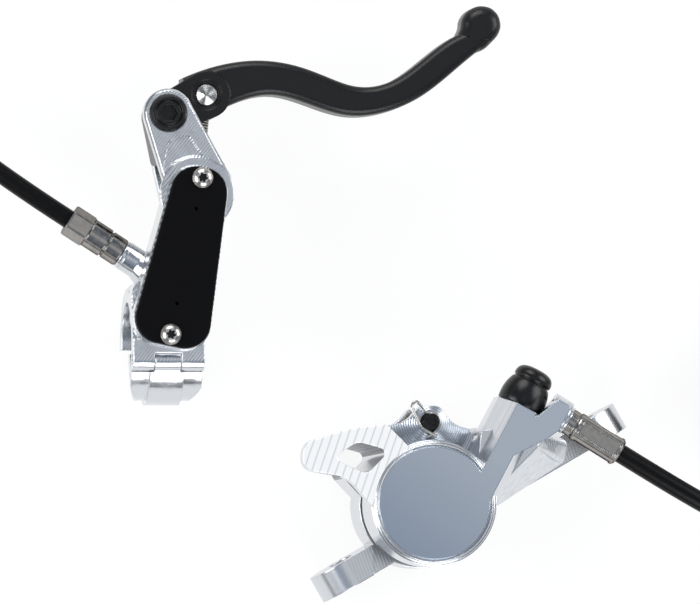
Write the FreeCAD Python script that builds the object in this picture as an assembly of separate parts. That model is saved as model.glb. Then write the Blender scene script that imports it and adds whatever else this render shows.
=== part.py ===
import FreeCAD, Part
import math
import os

# Bicycle hydraulic disc brake: lever with master cylinder, hose and two-piston caliper, in millimetres.
# The handlebar runs along X through the origin, Z is up and the brake lies on a flat table.

# Handlebar clamp
BAR_RADIUS = 11.1
CLAMP_LEFT = -8.6
CLAMP_RIGHT = 9.9
CLAMP_WALL = 3.4
CLAMP_RIB = 1.2
CLAMP_TAPER = 2.2
CLAMP_SPLIT_Y = -1.5
CLAMP_GAP = 1.0
BRACKET_REACH = 16.6
BRACKET_CORNER = 4.0
HINGE_Y = -4.2
HINGE_Z = 13.2
HINGE_RADIUS = 3.0
HINGE_PIN_RADIUS = 1.4
TONGUE_LEFT = -2.9
TONGUE_RIGHT = 3.9
CLAMP_BOLT_RADIUS = 2.5
CLAMP_BOLT_HEAD_RADIUS = 4.2
CLAMP_BOLT_HEAD = 4.0
CLAMP_BOLT_Z = -15.2
CLAMP_EAR_RADIUS = 4.8
CLAMP_EAR_REACH = 7.0
PIECE_CLEARANCE = 0.15
PIN_CLEARANCE = 0.03

# Master cylinder; its axis leans from Y towards X and passes over the middle of the bar
CYLINDER_LEAN = 11.5
BORE_Z = 4.5
BORE_RADIUS = 5.0
BORE_START = 16.0
BORE_MOUTH = 49.5
BARREL_WALL = 2.0
END_WALL = 3.0
RESERVOIR_TOP = 19.0
RESERVOIR_FLOOR = 12.0
RESERVOIR_UNDERSIDE = 6.0
RESERVOIR_WALL = 2.0
RESERVOIR_BAR_ROOM = 1.0
CAP_LOW = -0.8
CAP_HIGH = 46.2
CAP_LOW_HALF = 10.3
CAP_HIGH_HALF = 6.8
CAP_LOW_CORNER = 6.5
CAP_THICKNESS = 2.0
CAP_SCREW_INSET = 2.8
CAP_SCREW_RADIUS = 1.5
CAP_SCREW_HEAD_RADIUS = 2.7
CAP_SCREW_HEAD = 1.4
CAP_SCREW_DEPTH = 5.0
CAP_VENT_RADIUS = 0.5
CAP_VENT_INSET = 11.0
DIAPHRAGM_LIP = 0.8
RIM_MARGIN = 0.4
SKIRT_SPREAD = 2.4
SKIRT_DROP = 2.0

# Ears, pivot and lever; places are (across, along) the cylinder axis
PIVOT_ACROSS = -11.3
PIVOT_ALONG = 58.6
EAR_RADIUS = 6.4
LOWER_EAR_RADIUS = 4.7
EAR_CHAMFER = 0.6
EAR_THICKNESS = 4.0
EAR_GAP = 13.0
EAR_ROOT_ACROSS = 0.8
EAR_ROOT_ALONG = 41.0
EAR_ROOT_RADIUS = 8.6
EAR_POCKET_DEPTH = 1.4
PIVOT_SHANK_RADIUS = 3.0
PIVOT_HEAD_RADIUS = 4.8
PIVOT_HEAD = 3.4
BUSH_RADIUS = 4.2
BUSH_LENGTH = 5.0
BLADE_SIDE_CLEARANCE = 0.3
HUB_RADIUS = 5.1
PIN_EYE_RADIUS = 6.2
TAIL_RADIUS = 1.5
TAIL_ACROSS = 1.0
TAIL_LENGTH = 11.6
BLADE_HEIGHT = 11.4
BLADE_FILLET = 2.0
BLADE_TIP_RADIUS = 4.9
BARREL_PIN_ACROSS = -2.0
BARREL_PIN_ALONG = 65.7
BARREL_PIN_RADIUS = 3.0
PUSHROD_RADIUS = 1.9
PUSHROD_BALL_RADIUS = 2.0
PUSHROD_SLOT_CLEARANCE = 0.7

# Master piston and what rides with it
PISTON_CLEARANCE = 0.07
PISTON_FRONT = 27.0
PISTON_REAR = 47.2
PISTON_WAIST_RADIUS = 3.7
PISTON_CUP_RADIUS = 2.8
PISTON_CUP_DEPTH = 3.2
SEAL_WIDTH = 2.4
SEAL_DEPTH = 1.6
CIRCLIP_THICKNESS = 1.0
CIRCLIP_GROOVE = 0.7
CIRCLIP_INNER_RADIUS = 3.4
SPRING_RADIUS = 3.6
SPRING_WIRE_RADIUS = 0.45
SPRING_TURNS = 5
SPRING_STEPS = 12

# Hose fittings; HOSE_BOSS_ANGLE and PORT_ANGLE are headings of the hose in plan
HOSE_RADIUS = 2.5
HOSE_BOSS_ANGLE = 147.4
HOSE_BOSS_RADIUS = 3.9
HOSE_BOSS_LENGTH = 15.0
HOSE_BOSS_ALONG = 15.3
SOCKET_RADIUS = 3.0
SOCKET_DEPTH = 8.0
OUTLET_RADIUS = 1.2
WASHER_THICKNESS = 1.0
WASHER_RADIUS = 3.8
LEVER_CONNECTOR_COLLAR = 3.8
LEVER_CONNECTOR_LENGTH = 16.2
LEVER_CONNECTOR_RADIUS = 4.1
CALIPER_CONNECTOR_COLLAR = 2.0
CALIPER_CONNECTOR_LENGTH = 16.0
CALIPER_CONNECTOR_RADIUS = 3.8
PORT_SOCKET_DEPTH = 5.0
OLIVE_LENGTH = 2.0
OLIVE_BORE_RADIUS = 1.6

# Caliper; its own frame has the bore axis at the origin and the disc's middle plane at zero height
CALIPER_X = 69.3
CALIPER_Y = -41.4
CALIPER_HALF_HEIGHT = 21.0
BOSS_RADIUS = 16.4
BOSS_CHAMFER = 1.1
FACE_GROOVE_RADIUS = 14.6
FACE_GROOVE = 0.45
PISTON_RADIUS = 11.0
CALIPER_PISTON_WALL = 2.2
BORE_END_GAP = 0.8
PISTON_SEAL_WIDTH = 2.2
PISTON_SEAL_DEPTH = 1.8
PISTON_SEAL_INSET = 2.4
BORE_CAP_RADIUS = 13.0
BORE_CAP_THICKNESS = 2.2
BORE_CAP_SEAL = 0.8
DISC_SLOT_HALF = 2.5
DISC_RADIUS = 80.0
DISC_REACH = 8.0
DISC_EDGE_ROOM = 2.0
PAD_HALF_GAP = 2.2
LINING_THICKNESS = 2.0
PLATE_THICKNESS = 1.8
PAD_HALF_WIDTH = 12.2
PAD_LOW = -11.5
PAD_HIGH = 9.0
PAD_TAB_HALF = 4.2
POCKET_SIDE_ROOM = 0.3
POCKET_DEPTH_ROOM = 0.2
PAD_PIN_Y = 21.2
PAD_PIN_RADIUS = 2.1
PAD_PIN_RING = 0.5
LUG_RADIUS = 4.3
LUG_THICKNESS = 6.2
LUG_EDGE = 2.6
LUG_CONE_RADIUS = 11.0
PAD_SPRING_THICKNESS = 0.4
PAD_SPRING_ROOM = 0.7
CLIP_WIRE_RADIUS = 0.4
PAD_PIN_NECK = 1.7
CLIP_BENDS = [(1.6, -3.7, 0.9), (-2.5, -1.6, 0.9), (-3.6, 0.6, 0.6), (-5.2, 3.9, 0.2), (-4.0, 5.8, 0.0),
              (-2.4, 4.2, 0.0), (-1.0, 2.2, 0.0), (1.6, 2.3, 0.0), (2.75, 0.0, 0.0), (1.4, -2.4, 0.0), (-0.9, -3.8, 0.0)]
WING_THICKNESS = 5.0
WING_DROP = 0.5
TOWER_ANGLE = 62.0
TOWER_OFFSET = 8.7
TOWER_HALF_WIDTH = 5.9
TOWER_LENGTH = 33.2
PORT_DROP = 8.5
PORT_ANGLE = -31.5
CROSS_DRILLING_ALONG = 18.0
PORT_X = 35.4
PORT_Y = 22.3
BLEED_CAP_RADIUS = 5.9
BLEED_CAP_LENGTH = 10.3
BLEED_CAP_WALL = 1.6
EAR_LINE_ANGLE = 30.0
EAR_MIDDLE_ALONG = 12.4
EAR_MIDDLE_ACROSS = -6.1
POST_SPACING = 74.2
POST_EAR_RADIUS = 9.25
POST_EAR_THICKNESS = 7.1
POST_SLOT_RADIUS = 3.2
POST_SLOT_LENGTH = 10.5

# Put-away coil of the hose and its tie
COIL_X = 182.0
COIL_Y = -6.0
COIL_RADIUS = 27.5
COIL_LAYERS = 3
TIE_THICKNESS = 0.8
TIE_WIDTH = 7.0

# Places that the hose passes, as (x, y, height over the table or over the coil's top layer)
RUN_SHARE = 0.45
LEVER_HOSE_PLACES = [(-42.0, 43.8, 21.7), (-58.5, 57.5, 18.0), (-67.0, 79.0, 10.0), (-61.5, 101.5, 3.0),
                     (-40.0, 114.5, 0.0), (-8.0, 118.0, 0.0), (38.0, 117.5, 0.0), (88.0, 115.0, 0.0),
                     (134.0, 108.0, 0.0), (171.0, 91.0, 0.0), (196.0, 63.0, 0.0), (208.5, 32.0, 0.8),
                     (209.5, 2.0, 0.8)]
CALIPER_HOSE_PLACES = [(136.0, -38.2, 20.0), (156.0, -48.4, 16.7), (178.5, -51.0, 9.7), (199.0, -40.5, 3.2),
                       (209.0, -19.0, 0.0), (209.5, -4.0, 0.0)]

# Plan of the blade's two long edges, from the hub out to the tip and from the tip back
BLADE_FRONT = [(5.0, 69.2), (14.9, 72.7), (25.3, 74.0), (35.7, 72.5), (43.5, 69.7), (51.2, 67.4), (57.5, 68.0),
               (66.8, 73.6), (79.5, 82.0)]
BLADE_BACK = [(86.5, 79.6), (77.2, 72.4), (66.8, 64.4), (57.8, 60.7), (48.7, 59.8), (38.3, 62.6), (27.9, 65.0),
              (17.5, 62.2), (7.5, 56.5)]
BLADE_TIP_X = 83.5
BLADE_TIP_Y = 83.6

# Sizes that follow
X_AXIS = FreeCAD.Vector(1, 0, 0)
Y_AXIS = FreeCAD.Vector(0, 1, 0)
Z_AXIS = FreeCAD.Vector(0, 0, 1)
ORIGIN = FreeCAD.Vector(0, 0, 0)
FAR = 200.0
CLAMP_RADIUS = BAR_RADIUS + CLAMP_WALL
CLAMP_MIDDLE_X = (CLAMP_LEFT + CLAMP_RIGHT) / 2
TABLE_Z = CLAMP_BOLT_Z - CLAMP_EAR_RADIUS
BARREL_RADIUS = BORE_RADIUS + BARREL_WALL
CAP_HIGH_CORNER = CAP_HIGH_HALF - 0.2
EAR_LOW_Z = BORE_Z - EAR_GAP / 2
EAR_HIGH_Z = BORE_Z + EAR_GAP / 2
HUB_HALF = EAR_GAP / 2 - BLADE_SIDE_CLEARANCE
LINK_RADIUS = math.hypot(BARREL_PIN_ACROSS - PIVOT_ACROSS, BARREL_PIN_ALONG - PIVOT_ALONG)
BALL_ALONG = PISTON_REAR - PISTON_CUP_DEPTH + PUSHROD_BALL_RADIUS + 0.25
PLATE_FACE = PAD_HALF_GAP + LINING_THICKNESS
PISTON_FACE = PLATE_FACE + PLATE_THICKNESS
POCKET_HALF = PISTON_FACE + POCKET_DEPTH_ROOM
POCKET_HALF_WIDTH = PAD_HALF_WIDTH + POCKET_SIDE_ROOM
CALIPER_Z = TABLE_Z + CALIPER_HALF_HEIGHT
PORT_Z = CALIPER_HALF_HEIGHT - PORT_DROP
BORE_END = CALIPER_HALF_HEIGHT - BORE_CAP_THICKNESS
CALIPER_PISTON_LENGTH = BORE_END - BORE_END_GAP - PISTON_FACE
PAD_PIN_TOP = POCKET_HALF + LUG_THICKNESS + 2.4
CLIP_HEIGHT = PAD_PIN_TOP - 1.1
HOSE_TABLE_Z = TABLE_Z + HOSE_RADIUS
COIL_Z_LOW = TABLE_Z + TIE_THICKNESS + HOSE_RADIUS
COIL_Z_HIGH = COIL_Z_LOW + 2 * HOSE_RADIUS * (COIL_LAYERS - 1)


def rod(radius, start, end):
    """Solid cylinder between two points."""
    return Part.makeCylinder(radius, (end - start).Length, start, end - start)


def block(low, high):
    """Box between its lowest and highest corners."""
    size = high - low
    return Part.makeBox(size.x, size.y, size.z, low)


def rounded_face(corners, height):
    """Flat face at a height; each corner is (x, y, radius) and a radius of zero is sharp."""
    stops = []
    for index, (x, y, radius) in enumerate(corners):
        here = FreeCAD.Vector(x, y, height)
        before = FreeCAD.Vector(*corners[index - 1][:2], height) - here
        after = FreeCAD.Vector(*corners[(index + 1) % len(corners)][:2], height) - here
        before.normalize()
        after.normalize()
        half = before.getAngle(after) / 2
        middle = before + after
        if radius == 0 or middle.Length < 1e-6:
            stops.append((here, None, here))
            continue
        middle.normalize()
        reach = radius / math.tan(half)
        crown = here + middle * (radius / math.sin(half) - radius)
        stops.append((here + before * reach, crown, here + after * reach))
    edges = []
    for index, (start, crown, end) in enumerate(stops):
        if crown is not None:
            edges.append(Part.Arc(start, crown, end).toShape())
        following = stops[(index + 1) % len(stops)][0]
        if end.distanceToPoint(following) > 1e-6:
            edges.append(Part.LineSegment(end, following).toShape())
    return Part.Face(Part.Wire(edges))


def slab(corners, low, high):
    """Upright prism of a rounded outline."""
    return rounded_face(corners, low).extrude(FreeCAD.Vector(0, 0, high - low))


def belt(first, first_radius, second, second_radius, low, high):
    """Upright plate whose outline is a belt round two circles."""
    run = math.hypot(second[0] - first[0], second[1] - first[1])
    heading = math.atan2(second[1] - first[1], second[0] - first[0])
    spread = math.acos((first_radius - second_radius) / run)

    def at(centre, radius, angle):
        return FreeCAD.Vector(centre[0] + radius * math.cos(angle), centre[1] + radius * math.sin(angle), low)

    first_left = at(first, first_radius, heading + spread)
    first_right = at(first, first_radius, heading - spread)
    second_left = at(second, second_radius, heading + spread)
    second_right = at(second, second_radius, heading - spread)
    outline = Part.Wire([
        Part.Arc(first_left, at(first, first_radius, heading + math.pi), first_right).toShape(),
        Part.LineSegment(first_right, second_right).toShape(),
        Part.Arc(second_right, at(second, second_radius, heading), second_left).toShape(),
        Part.LineSegment(second_left, first_left).toShape(),
    ])
    return Part.Face(outline).extrude(FreeCAD.Vector(0, 0, high - low))


def turned(profile, start, direction):
    """Solid of revolution; the profile's points are (distance along the axis, radius)."""
    points = [FreeCAD.Vector(radius, 0, along) for along, radius in profile]
    solid = Part.Face(Part.makePolygon(points + points[:1])).revolve(ORIGIN, Z_AXIS, 360)
    solid.Placement = FreeCAD.Placement(start, FreeCAD.Rotation(Z_AXIS, direction))
    return solid


def ring(inner, outer, thickness, start, direction):
    """Plain ring whose near face is at start."""
    return turned([(0, inner), (0, outer), (thickness, outer), (thickness, inner)], start, direction)


def heading(angle):
    """Unit vector in plan."""
    return FreeCAD.Vector(math.cos(math.radians(angle)), math.sin(math.radians(angle)), 0)


def leaned(shape):
    """Takes a shape from the cylinder's own frame to the part's frame."""
    return shape.rotated(ORIGIN, Z_AXIS, -CYLINDER_LEAN)


def leaned_point(across, along, height):
    """Takes a place beside the cylinder to the part's frame."""
    return FreeCAD.Rotation(Z_AXIS, -CYLINDER_LEAN).multVec(FreeCAD.Vector(across, along, height))


def on_bore(along):
    """Point of the cylinder's axis, in the cylinder's own frame."""
    return FreeCAD.Vector(0, along, BORE_Z)


def at_caliper(shape):
    """Takes a shape from the caliper's own frame to the part's frame."""
    return shape.translated(FreeCAD.Vector(CALIPER_X, CALIPER_Y, CALIPER_Z))


def hexagon(across_flats, start, direction, length):
    """Hexagonal bar."""
    radius = across_flats / math.sqrt(3)
    points = [heading(60 * index) * radius for index in range(7)]
    bar = Part.Face(Part.makePolygon(points)).extrude(Z_AXIS * length)
    bar.Placement = FreeCAD.Placement(start, FreeCAD.Rotation(Z_AXIS, direction))
    return bar


def cap_outline(grow):
    """Tapered outline of the reservoir cap, grown outwards by a margin."""
    low = CAP_LOW - grow
    high = CAP_HIGH + grow
    low_half = CAP_LOW_HALF + grow
    high_half = CAP_HIGH_HALF + grow
    return [
        (-low_half, low, CAP_LOW_CORNER + grow),
        (low_half, low, CAP_LOW_CORNER + grow),
        (high_half, high, CAP_HIGH_CORNER + grow),
        (-high_half, high, CAP_HIGH_CORNER + grow),
    ]


def cavity_outline(shrink):
    """Outline of the fluid chamber, between the two cap screws."""
    inset = RESERVOIR_WALL + shrink
    low = CAP_LOW + 2 * CAP_SCREW_INSET + inset
    high = CAP_HIGH - 2 * CAP_SCREW_INSET - inset
    corner = 3.0 - shrink
    return [
        (-CAP_LOW_HALF + inset + 0.6, low, corner),
        (CAP_LOW_HALF - inset - 0.6, low, corner),
        (CAP_HIGH_HALF - inset + 0.4, high, corner),
        (-CAP_HIGH_HALF + inset - 0.4, high, corner),
    ]


def cap_screw_places():
    """Places of the two cap screws along the cylinder axis."""
    return (CAP_LOW + CAP_SCREW_INSET, CAP_HIGH - CAP_SCREW_INSET)


def clamp_tube(left, right, radius):
    """Tube round the bar."""
    outer = rod(radius, FreeCAD.Vector(left, 0, 0), FreeCAD.Vector(right, 0, 0))
    return outer.cut(bar(0))


def bar(grow):
    """The handlebar's own space."""
    return rod(BAR_RADIUS + grow, X_AXIS * -FAR, X_AXIS * FAR)


def hinge_barrel(left, right, radius):
    """Cylinder about the clamp's hinge axis."""
    return rod(radius, FreeCAD.Vector(left, HINGE_Y, HINGE_Z), FreeCAD.Vector(right, HINGE_Y, HINGE_Z))


def bolt_ear(start_y, end_y):
    """Ear round the clamp bolt, under the bar."""
    centre = FreeCAD.Vector(CLAMP_MIDDLE_X, start_y, CLAMP_BOLT_Z)
    ear = rod(CLAMP_EAR_RADIUS, centre, FreeCAD.Vector(CLAMP_MIDDLE_X, end_y, CLAMP_BOLT_Z))
    low = FreeCAD.Vector(CLAMP_MIDDLE_X - CLAMP_EAR_RADIUS, min(start_y, end_y), CLAMP_BOLT_Z)
    high = FreeCAD.Vector(CLAMP_MIDDLE_X + CLAMP_EAR_RADIUS, max(start_y, end_y), -BAR_RADIUS / 2)
    return ear.fuse(block(low, high))


def clamp_bolt_line(radius):
    """Cylinder along the clamp bolt's axis, through both ears."""
    start = FreeCAD.Vector(CLAMP_MIDDLE_X, CLAMP_SPLIT_Y - FAR, CLAMP_BOLT_Z)
    return rod(radius, start, start + Y_AXIS * 2 * FAR)


def clamp_faces():
    """Where the body's and the clamp half's split faces lie along Y."""
    return (CLAMP_SPLIT_Y + CLAMP_GAP / 2, CLAMP_SPLIT_Y - CLAMP_GAP / 2)


def boss_start():
    """Where the hose boss leaves the cylinder's axis, in the part's frame."""
    return leaned_point(0, HOSE_BOSS_ALONG, BORE_Z)


def boss_flare():
    """Cone that blends the hose boss into the cylinder."""
    length = HOSE_BOSS_LENGTH / 2
    start = boss_point(HOSE_BOSS_LENGTH / 4)
    return Part.makeCone(BARREL_RADIUS, HOSE_BOSS_RADIUS, length, start, heading(HOSE_BOSS_ANGLE))


def boss_point(distance):
    """Point on the lever's hose axis."""
    return boss_start() + heading(HOSE_BOSS_ANGLE) * distance


def port_point(distance):
    """Point on the caliper's hose axis, in the caliper's own frame."""
    return FreeCAD.Vector(PORT_X, PORT_Y, PORT_Z) + heading(PORT_ANGLE) * distance


def tower_point(along):
    """Point on the bleed tower's axis, in the caliper's own frame."""
    side = heading(TOWER_ANGLE - 90) * TOWER_OFFSET
    return heading(TOWER_ANGLE) * along + side + Z_AXIS * PORT_Z


def ear_plate(radius, low, high):
    """One ear of the lever's fork, from the cylinder to the pivot."""
    return belt((PIVOT_ACROSS, PIVOT_ALONG), radius,
                (EAR_ROOT_ACROSS, EAR_ROOT_ALONG), EAR_ROOT_RADIUS, low, high)


def upper_ear():
    """Upper ear with its outer edge chamfered."""
    top = EAR_HIGH_Z + EAR_THICKNESS
    ear = ear_plate(EAR_RADIUS, EAR_HIGH_Z, top)
    top_edges = [edge for edge in ear.Edges if edge.BoundBox.ZMin > top - 0.01]
    return ear.makeChamfer(EAR_CHAMFER, top_edges)


def master_body():
    """Machined body: clamp half, cylinder, reservoir, fork ears and hose boss."""
    leaned_bar = bar(RESERVOIR_BAR_ROOM).rotated(ORIGIN, Z_AXIS, CYLINDER_LEAN)
    skirt_centre = FreeCAD.Vector(0, CAP_HIGH - CAP_HIGH_HALF, EAR_HIGH_Z + EAR_THICKNESS)
    skirt_top = CAP_HIGH_HALF + RIM_MARGIN
    skirt_height = RESERVOIR_TOP - skirt_centre.z
    body = rod(BARREL_RADIUS, on_bore(BORE_START - END_WALL), on_bore(BORE_MOUTH))
    body = body.fuse([
        slab(cap_outline(RIM_MARGIN), RESERVOIR_UNDERSIDE, RESERVOIR_TOP).cut(leaned_bar),
        Part.makeCylinder(skirt_top + SKIRT_SPREAD, skirt_height - SKIRT_DROP, skirt_centre),
        upper_ear(),
        ear_plate(LOWER_EAR_RADIUS, EAR_LOW_Z - EAR_THICKNESS, EAR_LOW_Z),
        Part.makeCylinder(EAR_ROOT_RADIUS, EAR_GAP + 2 * EAR_THICKNESS,
                          FreeCAD.Vector(EAR_ROOT_ACROSS, EAR_ROOT_ALONG, EAR_LOW_Z - EAR_THICKNESS)),
    ])
    pocket = slab([(-9.7, 44.0, 0), (-9.7, 51.4, 1), (-5.2, 54.2, 1), (0.2, 49.2, 1), (0.2, 44.0, 0)],
                  EAR_HIGH_Z + EAR_THICKNESS - EAR_POCKET_DEPTH, EAR_HIGH_Z + EAR_THICKNESS + 1)
    pocket = pocket.cut(Part.makeCylinder(skirt_top + SKIRT_SPREAD + 0.5, FAR, skirt_centre - Z_AXIS * FAR / 2))
    body = body.cut(pocket)
    body = leaned(body)

    body_face = clamp_faces()[0]
    half_space = block(FreeCAD.Vector(-FAR, body_face, -FAR), FreeCAD.Vector(FAR, FAR, FAR))
    bracket = slab([(CLAMP_LEFT, 0, 0), (CLAMP_RIGHT, 0, 0), (CLAMP_RIGHT, BRACKET_REACH, BRACKET_CORNER),
                    (CLAMP_LEFT, BRACKET_REACH, BRACKET_CORNER)], EAR_LOW_Z - EAR_THICKNESS, RESERVOIR_FLOOR)
    web_top = FreeCAD.Vector(CLAMP_RIGHT, body_face + 2, HINGE_Z + HINGE_RADIUS)
    body = body.fuse([
        clamp_tube(CLAMP_LEFT, CLAMP_RIGHT, CLAMP_RADIUS).common(half_space),
        bracket,
        hinge_barrel(CLAMP_LEFT, CLAMP_RIGHT, HINGE_RADIUS),
        block(FreeCAD.Vector(CLAMP_LEFT, HINGE_Y, HINGE_Z - HINGE_RADIUS), web_top),
        bolt_ear(body_face, body_face + CLAMP_EAR_REACH),
        rod(HOSE_BOSS_RADIUS, boss_start(), boss_point(HOSE_BOSS_LENGTH)),
        boss_flare(),
    ])

    groove_start = on_bore(PISTON_REAR + 0.3)
    groove_end = groove_start + Y_AXIS * (CIRCLIP_THICKNESS + 0.1)
    cavity = slab(cavity_outline(0), RESERVOIR_FLOOR, RESERVOIR_TOP + 1)
    drillings = [
        rod(BORE_RADIUS, on_bore(BORE_START), on_bore(BORE_MOUTH + 3 * BORE_RADIUS)),
        rod(BORE_RADIUS + CIRCLIP_GROOVE, groove_start, groove_end),
        cavity,
        rod(0.6, on_bore(PISTON_FRONT - 1.5), on_bore(PISTON_FRONT - 1.5) + Z_AXIS * 10),
        rod(1.2, on_bore(PISTON_FRONT + 8), on_bore(PISTON_FRONT + 8) + Z_AXIS * 10),
        Part.makeCylinder(PIVOT_SHANK_RADIUS + PIN_CLEARANCE, FAR,
                          FreeCAD.Vector(PIVOT_ACROSS, PIVOT_ALONG, -FAR / 2)),
        Part.makeCylinder(PIVOT_HEAD_RADIUS + PIN_CLEARANCE, FAR,
                          FreeCAD.Vector(PIVOT_ACROSS, PIVOT_ALONG, EAR_HIGH_Z + EAR_THICKNESS / 2)),
    ]
    for along in cap_screw_places():
        hole_top = FreeCAD.Vector(0, along, RESERVOIR_TOP + 1)
        drillings.append(rod(CAP_SCREW_RADIUS, hole_top - Z_AXIS * (CAP_SCREW_DEPTH + 1.4), hole_top))
    body = body.cut([leaned(drilling) for drilling in drillings])
    return body.cut([
        bar(0),
        hinge_barrel(-FAR, FAR, HINGE_PIN_RADIUS + PIN_CLEARANCE),
        hinge_barrel(TONGUE_LEFT - PIECE_CLEARANCE, TONGUE_RIGHT + PIECE_CLEARANCE,
                     HINGE_RADIUS + 2 * PIECE_CLEARANCE),
        clamp_bolt_line(CLAMP_BOLT_RADIUS + PIN_CLEARANCE),
        rod(SOCKET_RADIUS, boss_point(HOSE_BOSS_LENGTH - SOCKET_DEPTH), boss_point(HOSE_BOSS_LENGTH + 1)),
        rod(OUTLET_RADIUS, boss_start(), boss_point(HOSE_BOSS_LENGTH)),
    ])


def reservoir_cap():
    """Flat black lid with two screw holes and two vent holes."""
    cap = slab(cap_outline(0), RESERVOIR_TOP + DIAPHRAGM_LIP, RESERVOIR_TOP + DIAPHRAGM_LIP + CAP_THICKNESS)
    holes = [(along, CAP_SCREW_RADIUS + 0.1) for along in cap_screw_places()]
    holes += [(along, CAP_VENT_RADIUS) for along in (CAP_LOW + CAP_VENT_INSET, CAP_HIGH - CAP_VENT_INSET)]
    drills = [Part.makeCylinder(radius, FAR, FreeCAD.Vector(0, along, 0)) for along, radius in holes]
    cap = cap.cut(drills)
    top_edges = [edge for edge in cap.Edges
                 if edge.BoundBox.ZMin > RESERVOIR_TOP + DIAPHRAGM_LIP + CAP_THICKNESS - 0.01 and edge.Length > 8]
    return leaned(cap.makeChamfer(0.4, top_edges))


def reservoir_diaphragm():
    """Rubber bladder: a lip under the cap and a cup that hangs in the chamber."""
    lip = slab(cap_outline(-0.2), RESERVOIR_TOP, RESERVOIR_TOP + DIAPHRAGM_LIP)
    cup = slab(cavity_outline(0.3), RESERVOIR_TOP - 4.0, RESERVOIR_TOP)
    hollow = slab(cavity_outline(1.1), RESERVOIR_TOP - 3.2, RESERVOIR_TOP + 1)
    drills = [Part.makeCylinder(CAP_SCREW_RADIUS + 0.1, FAR, FreeCAD.Vector(0, along, 0))
              for along in cap_screw_places()]
    return leaned(lip.fuse(cup).cut([hollow] + drills))


def cap_screws():
    """Two button-head screws with six-lobe recesses."""
    seat = RESERVOIR_TOP + DIAPHRAGM_LIP + CAP_THICKNESS
    shank = CAP_SCREW_DEPTH + DIAPHRAGM_LIP + CAP_THICKNESS
    screws = []
    for along in cap_screw_places():
        base = FreeCAD.Vector(0, along, seat)
        screw = turned([(-shank, 0), (-shank, CAP_SCREW_RADIUS), (0, CAP_SCREW_RADIUS), (0, CAP_SCREW_HEAD_RADIUS),
                        (0.5, CAP_SCREW_HEAD_RADIUS), (1.1, 2.1), (CAP_SCREW_HEAD, 1.5), (CAP_SCREW_HEAD, 0)],
                       base, Z_AXIS)
        recess = [Part.makeCylinder(0.35, 1, base + heading(60 * lobe) * 0.95 + Z_AXIS * 0.5) for lobe in range(6)]
        recess.append(Part.makeCylinder(0.95, 1, base + Z_AXIS * 0.5))
        screws.append(leaned(screw.cut(recess)))
    return Part.makeCompound(screws)


def blade_curve(points):
    """Smooth edge of the blade through a few places in plan."""
    curve = Part.BSplineCurve()
    curve.interpolate([FreeCAD.Vector(x, y, BORE_Z - BLADE_HEIGHT / 2) for x, y in points])
    return curve.toShape()


def lever_blade():
    """Forged blade with hub, tail, finger hook and ball tip, slotted for the pushrod."""
    edges = [blade_curve(BLADE_FRONT), blade_curve(BLADE_BACK)]
    ends = [edges[0].Vertexes[-1].Point, edges[1].Vertexes[0].Point,
            edges[1].Vertexes[-1].Point, edges[0].Vertexes[0].Point]
    edges.insert(1, Part.LineSegment(ends[0], ends[1]).toShape())
    edges.append(Part.LineSegment(ends[2], ends[3]).toShape())
    blade = Part.Face(Part.Wire(edges)).extrude(Z_AXIS * BLADE_HEIGHT)
    long_edges = [edge for edge in blade.Edges
                  if abs(edge.BoundBox.ZLength) < 0.01 and edge.BoundBox.XLength > 40]
    blade = blade.makeFillet(BLADE_FILLET, long_edges)
    tip = FreeCAD.Vector(BLADE_TIP_X, BLADE_TIP_Y, BORE_Z)
    ball = Part.makeSphere(BLADE_TIP_RADIUS, tip)

    pivot = leaned_point(PIVOT_ACROSS, PIVOT_ALONG, 0)
    pin = leaned_point(BARREL_PIN_ACROSS, BARREL_PIN_ALONG, 0)
    tail = leaned_point(PIVOT_ACROSS + TAIL_ACROSS, PIVOT_ALONG - TAIL_LENGTH, 0)
    low = BORE_Z - HUB_HALF
    high = BORE_Z + HUB_HALF
    hub = belt((pivot.x, pivot.y), HUB_RADIUS, (pin.x, pin.y), PIN_EYE_RADIUS, low, high)
    tail_bar = belt((pivot.x, pivot.y), HUB_RADIUS, (tail.x, tail.y), TAIL_RADIUS, low, high)
    blade = blade.fuse([ball, hub, tail_bar])

    rod_slot = PUSHROD_RADIUS + PUSHROD_SLOT_CLEARANCE
    slot = slab([(BARREL_PIN_ACROSS - 4.2, 30, 0), (9.0, 30, 0), (9.0, 58, 0),
                 (BARREL_PIN_ACROSS + 3.2, BARREL_PIN_ALONG + 2.4, 1), (BARREL_PIN_ACROSS - 4.2, BARREL_PIN_ALONG + 2.4, 1)],
                BORE_Z - rod_slot, BORE_Z + rod_slot)
    bush_space = Part.makeCylinder(BUSH_RADIUS, FAR, pivot - Z_AXIS * FAR / 2)
    pin_space = Part.makeCylinder(BARREL_PIN_RADIUS + PIN_CLEARANCE, FAR, pin - Z_AXIS * FAR / 2)
    pin_recess = Part.makeCylinder(BARREL_PIN_RADIUS + 0.9, FAR, pin + Z_AXIS * (high - 0.7))
    return blade.cut([leaned(slot), bush_space, pin_space, pin_recess])


def pivot_bolt():
    """Hollow-headed pivot bolt, let into the upper ear."""
    centre = leaned_point(PIVOT_ACROSS, PIVOT_ALONG, 0)
    low = EAR_LOW_Z - EAR_THICKNESS
    seat = EAR_HIGH_Z + EAR_THICKNESS / 2
    top = seat + PIVOT_HEAD
    bolt = turned([(low, 0), (low, PIVOT_SHANK_RADIUS), (seat, PIVOT_SHANK_RADIUS), (seat, PIVOT_HEAD_RADIUS),
                   (top - 0.8, PIVOT_HEAD_RADIUS), (top, PIVOT_HEAD_RADIUS - 0.6), (top, 3.6), (top - 0.6, 3.1),
                   (top - 0.6, 0)], centre, Z_AXIS)
    return bolt.cut(hexagon(4.0, centre + Z_AXIS * (top - 3.2), Z_AXIS, 4))


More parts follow.
